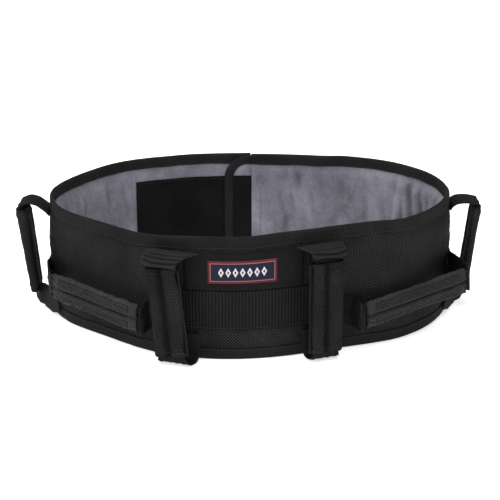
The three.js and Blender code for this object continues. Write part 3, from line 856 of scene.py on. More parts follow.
def field(sheet):
    """How far the sheet moved outwards, for any s and z."""
    moved = np.sum((sheet.result - sheet.grid) * wall.out(S), axis=-1)

    def read(s, z):
        i = np.clip((s - s_grid[0]) / (s_grid[1] - s_grid[0]), 0, len(s_grid) - 1.001)
        j = np.clip((z - z_grid[0]) / (z_grid[1] - z_grid[0]), 0, len(z_grid) - 1.001)
        i0, j0 = i.astype(int), j.astype(int)
        a, b = i - i0, j - j0
        return (
            moved[i0, j0] * (1 - a) * (1 - b) + moved[i0 + 1, j0] * a * (1 - b)
            + moved[i0, j0 + 1] * (1 - a) * b + moved[i0 + 1, j0 + 1] * a * b
        )

    return read


cover_moved, lining_moved = field(cover_sheet), field(lining_sheet)


def open_cloth(z):
    """1 on the open wall, fading to 0 at the sewn rims."""
    return between(z, TAPE_DEPTH + 9, HEIGHT - TAPE_DEPTH - 9, 9)


def pinch(z):
    """The wall thins towards its rims."""
    return 2.0 * smoothstep(z, HEIGHT - 27, HEIGHT - 9) + 1.2 * (1 - smoothstep(z, 3, 16))


def outer_face(s, z):
    clear = 1 - between(s, *webbing_at[0], 6) * between(z, webbing_at[2][0], overlay_at[2][1], 4)
    wrinkles = 0.4 * ripples(s, z * 0.6, 3, 46) + 0.2 * ripples(s, z * 0.35, 5, 17)
    pucker = 0.16 * np.sin(2 * math.pi * s / 7.5 + ripples(s, 0 * s, 8, 30)) * (
        np.exp(-np.abs(z - TAPE_DEPTH) / 5) + np.exp(-np.abs(z - HEIGHT + TAPE_DEPTH) / 5)
    )
    return cover_moved(s, z) + open_cloth(z) * clear * wrinkles + pucker * clear - pinch(z)


# Deep folds in the lining of the right wing: place, half width, depth, slant.
LINING_FOLDS = [
    (wall.near(place, wall.length / 2), reach, depth, slant)
    for place, reach, depth, slant in (
        ((128, 95), 7, 2.6, 0.25), ((147, 84), 5, 4.0, -0.12), ((157, 75), 4, 3.4, 0.1), ((168, 63), 5, 3.0, 0.2), ((179, 45), 5, 2.6, 0.0),
        ((60, 113), 12, 1.6, 0.5),
    )
]


def inner_face(s, z):
    """The lining hangs loose: soft upright folds that only ever stand out from the padding."""
    free = open_cloth(z) * smoothstep(s, loop_at[0][1], loop_at[0][1] + 14) * (1 - smoothstep(s, wall.length - 34, wall.length - 12))
    folds = 0.9 * (1 + ripples(s, z * 0.22, 11, 34)) + 0.6 * (1 + ripples(s, z * 0.5, 12, 15)) * (0.5 + 0.5 * ripples(s, z * 0.1, 13, 90))
    for place, reach, depth, slant in LINING_FOLDS:
        folds = folds + depth * np.exp(-(((s - place - slant * (z - 60)) / reach) ** 2))
    hang = np.maximum(free * folds, 0)
    moved = lining_moved(s, z) * smoothstep(s, loop_at[0][1], loop_at[0][1] + 14)
    mouth = smoothstep(s, wall.length - 100, wall.length - 76)
    return LINING_INNER + np.minimum(moved, 0) * 0.7 - hang + pinch(z) * (1 - mouth)


# ---- The wall ----

SPANS = {
    "left": (0.0, seam_left, "left_wing", "left"),
    "front": (seam_left, seam_right, "front", "belt"),
    "right": (seam_right, wall.length, "right_wing", "right"),
}
foam_stop = extent("right_wing_foam", "right_wing")[0][1]
INSET = 2.7


def wall_grid(start, stop, step=2.0, inset=INSET, z_step=3.2):
    s = eased(start, stop, step, 0.4)
    z = eased(inset, HEIGHT - inset, z_step, 0.4)
    return s, z, *np.meshgrid(s, z, indexing="ij")


def tape_rings(outer, inner, depth_out, depth_in, half=0.35, legs=7):
    """U-section over a rim: (offset, depth) outlines. outer and inner give the faces' offsets at a depth."""
    shoulder, crown = 3.2, 3.2 - half
    share = np.linspace(0, 1, legs, endpoint=False)
    leg_out = depth_out[:, None] + (shoulder - depth_out[:, None]) * share
    leg_in = shoulder + (depth_in[:, None] - shoulder) * np.linspace(1 / legs, 1, legs)
    a = outer(leg_out) + 0.3 + half
    b = inner(leg_in) - 0.3 - half
    turn = np.linspace(0, math.pi, 11)
    ends = np.stack([a[:, -1], b[:, 0]], -1) - np.array([[0.08, -0.08]])
    middle, reach = ends.mean(1)[:, None], (ends[:, :1] - ends[:, 1:]) / 2
    arc_offset = middle + reach * np.cos(turn)
    arc_depth = shoulder - crown * np.sin(turn) + 0 * reach
    offset = np.concatenate([a, arc_offset, b], 1)
    depth = np.concatenate([leg_out, arc_depth, leg_in], 1)
    path = np.stack([offset, depth], -1)
    tangent = unit(np.gradient(path, axis=1))
    normal = np.stack([-tangent[..., 1], tangent[..., 0]], -1)
    thick = np.full(path.shape[1], half)
    thick[[0, -1]] = half * 0.6
    one, two = path + normal * thick[:, None], path - normal * thick[:, None]
    return np.concatenate([one, two[:, ::-1]], 1), path


def rim_tape(span, top):
    start, stop, cad, how = SPANS[span]
    s = eased(start, stop, 1.8, 0.4)
    height_at = (lambda depth: HEIGHT - depth) if top else (lambda depth: depth)
    seed = 21 if top else 31
    lean = 0.1 * ripples(s, 0 * s, seed + 1, 18)[:, None]
    depth_out = TAPE_DEPTH - 0.8 + 0.35 * ripples(s, 0 * s, seed, 24)
    depth_in = TAPE_DEPTH - 1.8 + 0.3 * ripples(s, 0 * s, seed + 2, 26)
    outline, path = tape_rings(
        lambda depth: outer_face(s[:, None] + 0 * depth, height_at(depth)) + lean,
        lambda depth: inner_face(s[:, None] + 0 * depth, height_at(depth)),
        depth_out, depth_in,
    )
    height = height_at(outline[..., 1])
    rings = wall.place(s[:, None] + 0 * height, outline[..., 0], height)
    if span == "left":
        rings[0] += 0.9 * (wall.place(0.0, 0, 0) - wall.place(1.0, 0, 0))
    elif span == "right":
        rings[-1] += 0.6 * (wall.place(wall.length, 0, 0) - wall.place(wall.length - 1.0, 0, 0))
    name = f"{cad}_{'top' if top else 'bottom'}"
    tape = tube(name + "_rim_tape", rings, tape_cloth)
    attach(tape, how, [name + "_binding"])
    rows = []
    for row, side in ((1, 1.0), (path.shape[1] - 2, -1.0)):
        offset, z = path[:, row, 0] + side * 0.42, height_at(path[:, row, 1])
        rows.append((wall.place(s, offset, z), side * wall.out(s)))
    thread = stitches(name + "_rim_stitching", rows, black_thread)
    attach(thread, how)


for span, (start, stop, cad, how) in SPANS.items():
    s, z, S2, Z2 = wall_grid(start, stop)
    outer = outer_face(S2, Z2)
    # Painted shade in the cover's hollows.
    hollow = np.gradient(np.gradient(outer, s, axis=0), s, axis=0)
    cover = slab(f"{cad}_cover", s, z, outer, outer - SHELL, shell_cloth, shade=np.clip(hollow * 3.0, 0, 0.5))
    attach(cover, how, [cad + "_shell"])
    inner = inner_face(S2, Z2)
    # Painted shade on the lining: darker in the hollows of its folds and on the side of each fold turned away from the
    # key light.
    slope = np.gradient(inner, s, axis=0)
    hollow = np.clip(-3.0 * np.gradient(slope, s, axis=0) - 0.55 * slope, 0, 0.55)
    lining = slab(f"{cad}_lining_cloth", s, z, inner + 1.0, inner, lining_cloth, shade=hollow)
    attach(lining, how, [cad + "_lining"])
    s, z, S2, Z2 = wall_grid(start, min(stop, foam_stop), 5.0, z_step=6)
    pad = slab(f"{cad}_padding", s, z, outer_face(S2, Z2) - SHELL - 0.25, inner_face(S2, Z2) + 1.25, foam_cloth)
    attach(pad, how, [cad + "_foam"])
    rim_tape(span, True)
    rim_tape(span, False)

# The left wing's end: tape folded over the upright edge.
z = eased(TAPE_DEPTH + 0.6, HEIGHT - TAPE_DEPTH - 0.6, 2.5)
one = np.ones(z.shape)
outline, path = tape_rings(
    lambda depth: outer_face(0 * depth, z[:, None] + 0 * depth), lambda depth: inner_face(0 * depth, z[:, None] + 0 * depth),
    TAPE_DEPTH * one, TAPE_DEPTH * one,
)
rings = wall.place(outline[..., 1] - 1.0, outline[..., 0], z[:, None] + 0 * outline[..., 0])
behind = wall.place(0.0, 0, 0) - wall.place(1.0, 0, 0)
rings = rings + behind * (0.8 + np.clip(1.0 - outline[..., 1], 0, 2))[..., None]
end_tape = attach(tube("left_wing_end_tape", rings, tape_cloth), "left_wing", ["left_wing_end_binding"])
end_rows = [
    (wall.place(path[:, row, 1] - 1.0, path[:, row, 0] + side * 0.42, z), side * wall.out(0 * z))
    for row, side in ((1, 1.0), (path.shape[1] - 2, -1.0))
]
attach(stitches("left_wing_end_stitching", end_rows, black_thread), "left_wing")


# ---- Patches on the wall ----

def patch(name, s_range, z_range, lift, thickness, material, how, node, face=outer_face, sign=1, step=2.0, origin=(0, 0), bulge=0.0):
    s = eased(*s_range, step)
    z = eased(*z_range, 2.4)
    S2, Z2 = np.meshgrid(s, z, indexing="ij")
    base = face(S2, Z2) + sign * lift
    puff = bulge * np.sqrt(between(S2, s_range[0] + 4, s_range[1] - 4, 4) * between(Z2, z_range[0] + 4, z_range[1] - 4, 4))
    over = base + sign * (thickness + puff)
    outer, inner = (over, base) if sign > 0 else (base, over)
    obj = slab(name, s, z, outer, inner, material, origin)
    attach(obj, how, [node])
    return s, z, over


def straight_row(a, b, offset, sign=1, count=60):
    """A row of stitches on the wall from (s, z) a to b."""
    s, z = np.linspace(a[0], b[0], count), np.linspace(a[1], b[1], count)
    return wall.place(s, offset(s, z), z), sign * wall.out(s)


def webbing_face(s, z):
    return outer_face(s, z)


webbing_s = eased(*webbing_at[0], 0.62)
webbing_z = eased(*webbing_at[2], 2.0)
S2, Z2 = np.meshgrid(webbing_s, webbing_z, indexing="ij")
ribs = 0.14 * np.abs(np.sin(math.pi * (S2 + 0.4 * ripples(S2, Z2, 41, 40)) / 2.5))
base = outer_face(S2, Z2) + 0.3
swollen = 0.35 * ripples(S2, Z2 * 0.5, 42, 34) * between(Z2, webbing_at[2][0] + 6, webbing_at[2][1] - 6, 6)
webbing = slab("front_webbing_band", webbing_s, webbing_z, base + 1.6 + ribs + np.maximum(swollen, -0.2), base, webbing_cloth)
attach(webbing, "belt", ["front_webbing"])

overlay = patch(
    "front_overlay", overlay_at[0], overlay_at[2], 0.25, 1.0, panel_cloth, "belt", "front_label_panel", bulge=0.5
)


def overlay_face(s, z):
    return outer_face(s, z) + 1.45


rows = [
    straight_row((overlay_at[0][0] + 3.0, overlay_at[2][0] + 1.5), (overlay_at[0][0] + 3.0, overlay_at[2][1] - 1), overlay_face),
    straight_row((overlay_at[0][1] - 3.0, overlay_at[2][0] + 1.5), (overlay_at[0][1] - 3.0, overlay_at[2][1] - 1), overlay_face),
    straight_row((overlay_at[0][0] + 3.0, overlay_at[2][0] + 1.6), (overlay_at[0][1] - 3.0, overlay_at[2][0] + 1.6), overlay_face),
]
for edge in (webbing_at[2][0] + 2.0,):
    rows.append(
        straight_row((webbing_at[0][0] + 2, edge), (webbing_at[0][1] - 2, edge), lambda s, z: outer_face(s, z) + 2.1)
    )
attach(stitches("front_overlay_stitching", rows, black_thread), "belt")

label_width = label_at[0][1] - label_at[0][0]
label_height = label_at[2][1] - label_at[2][0] - 2.5
label_material = woven_label("woven_label", label_width, label_height)
patch(
    "generic_label", label_at[0], (label_at[2][0] + 4.0, label_at[2][1] + 1.5), 1.75, 0.7, label_material, "belt", "label_patch",
    origin=(label_at[0][0], label_at[2][0] + 4.0), bulge=0.2,
)

patch(
    "loop_panel_pile", (loop_at[0][0], loop_at[0][1] + 2.0), (loop_at[2][0], loop_at[2][1] - 1.5), 0.25, 0.8, loop_cloth, "left_wing", "left_wing_loop_panel",
    face=inner_face, sign=-1, bulge=0.15,
)
inside = lambda s, z: inner_face(s, z) - 1.15
low, high = loop_at[0][0] + 2.2, loop_at[0][1] - 0.2
bottom, top = loop_at[2][0] + 2.2, loop_at[2][1] - 3.7
rows = [
    straight_row((low, bottom), (high, bottom), inside, -1, 120),
    straight_row((high, bottom), (high, top), inside, -1),
    straight_row((high, top), (low, top), inside, -1, 120),
    straight_row((low, top), (low, bottom), inside, -1),
]
attach(stitches("loop_panel_stitching", rows, dark_thread), "left_wing")

# The hems at the right wing's open end.
hem = wall.length - 9.5
rows = [
    straight_row((hem, TAPE_DEPTH + 1), (hem, HEIGHT - TAPE_DEPTH - 1), lambda s, z: inner_face(s, z) - 0.12, -1),
]
attach(stitches("right_wing_hem_stitching", rows, grey_thread), "right_wing")
rows = [straight_row((hem, TAPE_DEPTH + 1), (hem, HEIGHT - TAPE_DEPTH - 1), lambda s, z: outer_face(s, z) + 0.12)]
attach(stitches("right_wing_cover_stitching", rows, black_thread), "right_wing")


# ---- The closure tab ----

tab_centre = joint_place("closure_tab_adjustment")
tab_points = node_points("closure_tab_binding")
tab_radius = np.hypot(*(tab_points[:, :2] - tab_centre[:2]).T)
TAB_OUTER, TAB_INNER = float(tab_radius.max()), float(tab_radius.min()) + 0.02
TAB_TIP, TAB_ROOT = float(tab_points[:, 0].min()), float(tab_points[:, 0].max())
TAB_LOW, TAB_HIGH = float(tab_points[:, 2].min()), float(tab_points[:, 2].max()) + 2.5
TAB_CORNER = 25.0
TAB_TAPE = 8.8


def tab_place(x, radius, z):
    x, radius, z = np.broadcast_arrays(*(np.asarray(a, float) for a in (x, radius, z)))
    cosine = (x - tab_centre[0]) / TAB_OUTER
    sine = np.sqrt(1 - cosine**2)
    return np.stack([tab_centre[0] + radius * cosine, tab_centre[1] + radius * sine, z], -1)


def tab_layer(name, inset, outer, inner, low, high, material, node, slot):
    z = eased(max(low, TAB_LOW + inset), min(high, TAB_HIGH - inset), 2.2)
    share = eased(0, 1, 1 / 30, 0.008)
    corner = TAB_CORNER - inset
    above = np.clip(z - (TAB_HIGH - TAB_CORNER), 0, corner) + np.clip(TAB_LOW + TAB_CORNER - z, 0, corner)
    left = TAB_TIP + inset + corner - np.sqrt(np.maximum(corner**2 - above**2, 0.0))
    right = TAB_ROOT - inset
    X = left[None, :] + share[:, None] * (right - left[None, :])
    Z2 = np.broadcast_to(z, X.shape)
    ease = np.zeros(X.shape)
    ease[[0, -1], :] = ease[:, [0, -1]] = 0.2
    wave = 0.12 * ripples(X, Z2, 51, 30)
    rings = np.concatenate([tab_place(X, outer - ease + wave, Z2), tab_place(X, inner + ease + wave, Z2)[:, ::-1]], 1)
    flat = np.stack([X - TAB_TIP, Z2], -1)
    obj = tube(name, rings, material, uv=np.concatenate([flat, flat[:, ::-1]], 1), strip_caps=True)
    return attach(obj, "closure_tab", [node])


tab_layer("closure_tab_lining_cloth", 1.2, TAB_OUTER - 0.85, TAB_INNER + 0.85, TAB_LOW, TAB_HIGH, lining_cloth, "closure_tab_core", "grey_lining")
tab_layer("closure_tab_hooks", TAB_TAPE + 0.5, TAB_OUTER + 0.1, TAB_OUTER - 0.6, TAB_LOW, TAB_HIGH, hook_cloth, "closure_tab_hook_panel", "hook_and_loop")
panel_z = extent("closure_tab_inner_panel", "right_wing")[2]
tab_layer("closure_tab_inner_patch", TAB_TAPE - 1.0, TAB_INNER + 0.6, TAB_INNER - 0.1, *panel_z, loop_cloth, "closure_tab_inner_panel", "hook_and_loop")

straight = np.linspace(TAB_ROOT, TAB_TIP + TAB_CORNER, 30, endpoint=False)
turn = np.linspace(0, math.pi / 2, 16)
upright = np.linspace(TAB_HIGH - TAB_CORNER, TAB_LOW + TAB_CORNER, 36)[1:-1]
corner_x = TAB_TIP + TAB_CORNER - TAB_CORNER * np.sin(turn)
top_run = np.stack([straight, 0 * straight + TAB_HIGH], -1)
top_corner = np.stack([corner_x, TAB_HIGH - TAB_CORNER + TAB_CORNER * np.cos(turn)], -1)
tip_run = np.stack([0 * upright + TAB_TIP, upright], -1)
half_outline = np.vstack([top_run, top_corner, tip_run])
mirrored = np.vstack([top_run, top_corner])[::-1] * [1, -1] + [0, TAB_HIGH + TAB_LOW]
outline2 = np.vstack([half_outline, mirrored])
tangent = unit(np.gradient(outline2, axis=0))
inward = np.stack([-tangent[:, 1], tangent[:, 0]], -1)
inward *= np.sign(np.sum(inward * ([TAB_ROOT, (TAB_HIGH + TAB_LOW) / 2] - outline2), -1, keepdims=True))
count = len(outline2)
wobble = 0.25 * ripples(np.arange(count) * 2.0, np.zeros(count), 61, 22)
depths = TAB_TAPE + wobble
section, path = tape_rings(
    lambda depth: np.full(depth.shape, TAB_OUTER - 0.95), lambda depth: np.full(depth.shape, TAB_INNER + 0.95), depths, depths, half=0.3
)
flat = outline2[:, None] + inward[:, None] * section[..., 1:2]
rings = tab_place(flat[..., 0], section[..., 0], flat[..., 1])
attach(tube("closure_tab_edge_tape", rings, tape_cloth), "closure_tab", ["closure_tab_binding"])
rows = []
for row, side in ((1, 1.0), (path.shape[1] - 2, -1.0)):
    flat = outline2 + inward * path[:, row, 1:2]
    rows.append(
        (tab_place(flat[:, 0], path[:, row, 0] + side * 0.36, flat[:, 1]), side * unit(tab_place(flat[:, 0], 1.0, 0.0) - tab_place(flat[:, 0], 0.0, 0.0)))
    )
attach(stitches("closure_tab_stitching", rows, black_thread), "closure_tab")


# ---- Grips ----

INNER_HALF = (12.6, 1.55)
QUILTING = (-10.0, -7.4, -4.8, 4.8, 7.4, 10.0)


def sleeve(sheet):
    """The padded sleeve, swollen, hemmed at its ends and hollow for the strap."""
    grip = sheet.grip
    grid = sheet.result
    for axis, closed in ((0, False), (1, True)):
        grid = densify(grid, axis, closed)
    t = (grid - grip.centre) @ grip.along
    x = (grid - grip.centre) @ grip.across
    flank = grip.name in FLANK
    crease = (0.16 * ripples(t, x * 0.7, 71, 13) + 0.3 * ripples(t, x * 0.4, 72, 34)) * (0.5 if grip.name in SIDE else 1.0)
    out = (grid - grip.centre) - t[..., None] * grip.along
    height = out @ grip.face
    to_end = np.minimum(t - t.min(), t.max() - t)
    grid = grid + unit(out) * (crease * smoothstep(to_end, 0, 8))[..., None]
    front = smoothstep(height, 0, 2.0)
    groove = np.exp(-(((x - GROOVES["upright"][0][0]) / 2.6) ** 2)) * front
    if flank:
        lines = sum(np.exp(-(((x - place) / 0.75) ** 2)) for place in QUILTING) * front
        past = np.clip(HEM["flank"] - to_end, 0, None)
        ends = smoothstep(past, 0, 1.5)
        puckers = 0.55 * np.sin(x * 1.1 + 2.0 * ripples(t, x * 0.2, 73, 12)) * ends
        grid = grid - grip.face * ((0.55 * lines * (1 - ends)) + puckers * front)[..., None]
        groove = 0.9 * np.exp(-((x / 1.3) ** 2)) * front * (1 - 0.6 * ends) + lines * (1 - ends)
    # Painted shade: the groove, the quilting lines and the last 3 mm at each end are painted darker.
    shade = np.clip(groove + 0.5 * (1 - smoothstep(to_end, 0, 3)), 0, 1)
    points = grid.shape[1]
    ix, iy = sleeve_outline(*INNER_HALF, points, 0.5)
    if grip.name in FLANK:
        ix = ix * 0.85
    hollow = []
    for place in np.linspace(grip.high - 0.4, grip.low + 0.4, 9):
        hollow.append(grip.at(np.full(points, place), ix, iy))
    lip_high = grip.at(np.full(points, grip.high + 0.3), (x[-1] + ix) / 2, ((grid[-1] - grip.centre) @ grip.face + iy) / 2)
    lip_low = grip.at(np.full(points, grip.low - 0.3), (x[0] + ix) / 2, ((grid[0] - grip.centre) @ grip.face + iy) / 2)
    rings = np.concatenate([grid, lip_high[None], np.array(hollow), lip_low[None]])
    # The lips and the hollow inside the sleeve are painted in full shade.
    shade = np.concatenate([shade, np.ones((len(rings) - len(shade), points))])
    obj = tube(grip.name + "_padded_sleeve", rings, flank_cloth if flank else grip_cloth, join=True, shade=shade)
    attach(obj, grip.body, [grip.name + "_grip"])
    return grid, x, t


def surface_rows(grip, grid, x, t, columns, ends, front=True):
    """Rows of stitches on a sleeve: along it at the given x, and across it at the given distances from its ends."""
    face = (grid - grip.centre) @ grip.face
    rows = []
    trim = (t[:, 0] > grip.low + 9.4) & (t[:, 0] < grip.high - 9.4)
    for place in columns:
        score = np.abs(x[len(x) // 2] - place) + (face[len(x) // 2] < 0) * 1e3
        column = int(np.argmin(score))
        rows.append((grid[trim, column] + grip.face * 0.12, np.broadcast_to(grip.face, grid[trim, column].shape)))
    for place in ends:
        row = int(np.argmin(np.abs(t[:, 0] - place)))
        shown = np.flatnonzero((face[row] > 0) & (np.abs(x[row]) < grip.width / 2 - 1.2))
        shown = shown[np.argsort(x[row, shown])]
        line = grid[row, shown] + grip.face * 0.12
        rows.append((line, np.broadcast_to(grip.face, line.shape)))
    return rows


for sheet in sleeve_sheets:
    grip = sheet.grip
    grid, x, t = sleeve(sheet)
    if grip.name in FLANK:
        columns = QUILTING
        ends = (grip.low + 7.4, grip.low + 9.4, grip.high - 9.4, grip.high - 7.4)
    else:
        columns = ()
        ends = (grip.low + HEM["upright"], grip.high - HEM["upright"])
    rows = surface_rows(grip, grid, x, t, columns, ends)
    thread = worn_thread if grip.name in FLANK else black_thread
    attach(stitches(grip.name + "_sleeve_stitching", rows, thread, pitch=3.0, length=2.0, radius=0.3), grip.body)
    tucked = 12.0
    path = np.array([grip.at(p) for p in np.linspace(grip.low + tucked, grip.high - tucked, 12)])
    core = band(grip.name + "_core_webbing", path, grip.across, 21.0 if grip.name in FLANK else 23.0, 1.8, strap_cloth)
    attach(core, grip.body, [grip.name + "_core"])

# A raised seam down one edge of each front grip.
for name in ("front_left", "front_right"):
    grip = grips[name]
    t = np.linspace(grip.low + 1.0, grip.high - 1.0, 44)
    edge = (grip.width / 2 + 0.2) * (-1 if name == "front_left" else 1)
    path = grip.at(t, edge + 0.25 * ripples(t, 0 * t, 81, 26), 1.2)
    seam = band(name + "_sleeve_seam", path, grip.across * 0.85 + grip.face * (-0.5 if name == "front_left" else 0.5), 3.4, 1.3, grip_cloth, points=5)
    attach(seam, grip.body)


# ---- Straps of the upright grips ----

def strap_path(grip, controls, end, count=40, drift=0.0):
    """From inside the sleeve's end out to the wall. controls are (height, offset from the wall); drift
    moves the sewn end along the wall."""
    sign, tip = (1, grip.high) if end == "upper" else (-1, grip.low)
    inside = [grip.at(tip - sign * 11.0), grip.at(tip - sign * 4.0), grip.at(tip + sign * 1.0)]
    base = wall.place(grip.s, 0, 0)
    out = wall.out(grip.s)
    aside = np.cross([0, 0, 1.0], out)
    shift = (grip.at(tip) - base) @ aside
    rest = []
    for k, (height, offset) in enumerate(controls):
        along = shift + drift * smoothstep((k + 1) / len(controls), 0, 0.8)
        rest.append(base + aside * along + out * offset + np.array([0, 0, height]))
        if offset < 8:
            rest[-1] = wall.place(grip.s + along, offset, height)
    path = smooth_path(np.array(inside + rest), count)
    turned = wall.out(wall.near(path[-1], *RANGES["belt"]))
    share = smoothstep(np.linspace(0, 1, count), 0.35, 0.8)[:, None]
    return path, aside * (1 - share) + np.cross([0, 0, 1.0], turned) * share


def width_along(count, sleeve_width=22.0, full=25.0):
    return sleeve_width + (full - sleeve_width) * smoothstep(np.linspace(0, 1, count), 0.12, 0.4)


def upright_strap(grip, end, controls, start, stop, creases=0.0, full=25.0, drift=0.0):
    count = 46
    path, aside = strap_path(grip, controls, end, count, drift)
    wide = width_along(count, full=full)
    lift = None
    if creases:
        # The creases are painted darker in their troughs: painted shade.
        lift = lambda t, x: creases * np.sin(x * 0.9 + 2.0 * np.sin(t * 5)) * between(t, 0.3, 0.62, 0.15)
    obj = band(f"{grip.name}_{end}_strap", path, aside, wide, 1.8, strap_cloth, lift=lift)
    base, out = wall.place(grip.s, 0, 60), wall.out(grip.s)
    attach(obj, ("belt", grip.body, base + out * start, base + out * stop), [f"{grip.name}_{end}_tab"])


for name in ("front_left", "front_right"):
    grip = grips[name]
    top_z, bottom_z = grip.at(grip.high)[2], grip.at(grip.low)[2]
    off = float((grip.at(grip.high) - wall.place(grip.s, 0, 0)) @ wall.out(grip.s))
    upright_strap(
        grip, "upper", [(top_z + 5.2, off - 3.5), (102.5, off / 2), (102, 3.4), (96, 1.35), (88, 1.35)], 3, off - 1
    )
    upright_strap(
        grip, "lower", [(4.2, off - 2.0), (2.0, off * 0.6), (2.8, 5.0), (9.5, 2.35), (27, 2.35)], 3, off - 1,
        creases=0.4, full=33.0 if name == "front_left" else 30.0, drift=4.0 if name == "front_left" else -1.0,
    )

def side_lower_strap(grip, low_off, forward):
    """It swings in from the grip's foot and turns forwards along the wall, so its width ends upright."""
    inside = [grip.at(grip.low + 11.0), grip.at(grip.low + 4.0), grip.at(grip.low - 1.0)]
    turn = [(1, low_off * 0.8, 13.5), (4, low_off * 0.48, 11.0), (11, 4.2, 11.5), (21, 2.5, 15.5), (32, 2.3, 19.5)]
    count = 46
    path = smooth_path(np.array(inside + [wall.place(grip.s + forward * f, offset, z) for f, offset, z in turn]), count)
    ahead = wall.place(grip.s + forward * 12, 0, 0) - wall.place(grip.s - forward * 12, 0, 0)
    share = smoothstep(np.linspace(0, 1, count), 0.0, 0.48)[:, None]
    across = unit(ahead) * np.cos(share * math.pi / 2) + np.array([0, 0, 1.0]) * np.sin(share * math.pi / 2)
    wide = width_along(count, full=25.0)
    path[:, 2] += np.maximum(1.2 + np.abs(across[:, 2]) * wide / 2 - path[:, 2], 0)
    obj = band(f"{grip.name}_lower_strap", path, across, wide, 1.8, strap_cloth)
    base, out = wall.place(grip.s, 0, 60), wall.out(grip.s)
    attach(obj, ("belt", grip.body, base + out * 5, base + out * (low_off - 1.5)), [f"{grip.name}_lower_tab"])


for name in SIDE:
    grip = grips[name]
    high_off, low_off = (
        float((grip.at(p) - wall.place(grip.s, 0, 0)) @ wall.out(grip.s)) for p in (grip.high, grip.low)
    )
    top_z = grip.at(grip.high)[2]
    left = name == "left_side"
    if left:
        upper = [(top_z + 3.0, high_off + 2.0), (top_z + 5.0, high_off - 1.5), (111.2, high_off - 7.0), (109.4, 11), (106.4, 5.5), (103.6, 2.0), (101.4, 0.2), (99.5, -1.2)]
    else:
        upper = [(top_z + 2.2, high_off + 1.2), (top_z + 3.0, high_off - 2.5), (108.6, high_off - 8.0), (108.8, 11), (107.8, 5.5), (105.6, 2.0), (103.4, 0.2), (101.5, -1.2)]
    upright_strap(grip, "upper", upper, 6, high_off - 1.5)
    side_lower_strap(grip, low_off, 1 if left else -1)


# ---- Gathered flaps over the front grips' upper straps ----

def anchor_flap(name, root_width, tip_width, root_shift, lift, reach):
    """lift raises the whole flap, reach is how far its tip stands beyond the grip."""
    grip = grips[name]
    base, out = wall.place(grip.s, 0, 0), wall.out(grip.s)
    aside = np.cross([0, 0, 1.0], out)
    top = grip.at(grip.high)
    off = float((top - base) @ out)
    tip_shift = float((top - base) @ aside)
    tip_z = top[2] + lift
    profile = smooth_path(
        [(2.2, 105.4 + lift), (7, 106.4 + lift), (14, 106.2 + lift), (off + 1.0, tip_z + 8.0), (off + reach - 1.5, tip_z + 5.5), (off + reach, tip_z + 2.4)], 56
    )
    t = np.linspace(0, 1, len(profile))[:, None]
    tangent = unit(np.gradient(profile, axis=0))
    normal = np.stack([-tangent[:, 1], tangent[:, 0]], -1)
    normal *= np.sign(normal[len(normal) // 2] @ [1, 1])
    width = root_width + (tip_width - root_width) * smoothstep(t, 0.1, 0.95)
    shift = root_shift + (tip_shift - root_shift) * smoothstep(t, 0.0, 0.9)
    section = band_section(1.0, 0.03, 27)
    x = section[None, :, 0] * width
    half = 0.62
    y = np.sign(section[:, 1])[None] * half * np.minimum(1, (0.5 - np.abs(section[None, :, 0])) * 30 + 0.35)
    across = x / (width / 2)
    bow = t * 5.6 + 0.5 * across**2 - 0.12 * across
    ridge = np.abs(np.sin(math.pi * bow)) - 0.5
    raised = smoothstep(t, 0.1, 0.4)
    y = y + ridge * 1.7 * raised * (1 - 0.35 * across**2) + 0.5 * smoothstep(t, 0, 0.25) * (1 - across**2)
    edge_wave = 0.6 * np.sin(across * 3.3 + (0.6 if name == "front_left" else 2.4)) * smoothstep(t, 0.75, 1.0)
    centre = base + out * profile[:, None, 0:1] + aside * (shift + x)[..., None] + np.array([0, 0, 1.0]) * (profile[:, None, 1:2])
    rings = centre + (out * normal[:, None, 0:1] + np.array([0, 0, 1.0]) * normal[:, None, 1:2]) * y[..., None]
    rings = rings + np.array([0, 0, 1.0]) * edge_wave[..., None]
    # Painted shade in the troughs between the gathered ridges.
    shade = np.clip(1.25 - 1.9 * (ridge + 0.5), 0, 1) * raised
    obj = tube(name + "_gathered_flap", rings, flap_cloth, shade=np.broadcast_to(shade, x.shape))
    attach(obj, ("belt", grip.body, base + out * 3 + [0, 0, 60], base + out * (off - 1) + [0, 0, 60]), [name + "_anchor_flap"])


anchor_flap("front_left", 47, 33, 1.5, 0.0, 6.0)
anchor_flap("front_right", 43, 32, -1.0, 3.0, 5.5)


# ---- Straps of the flank grips ----

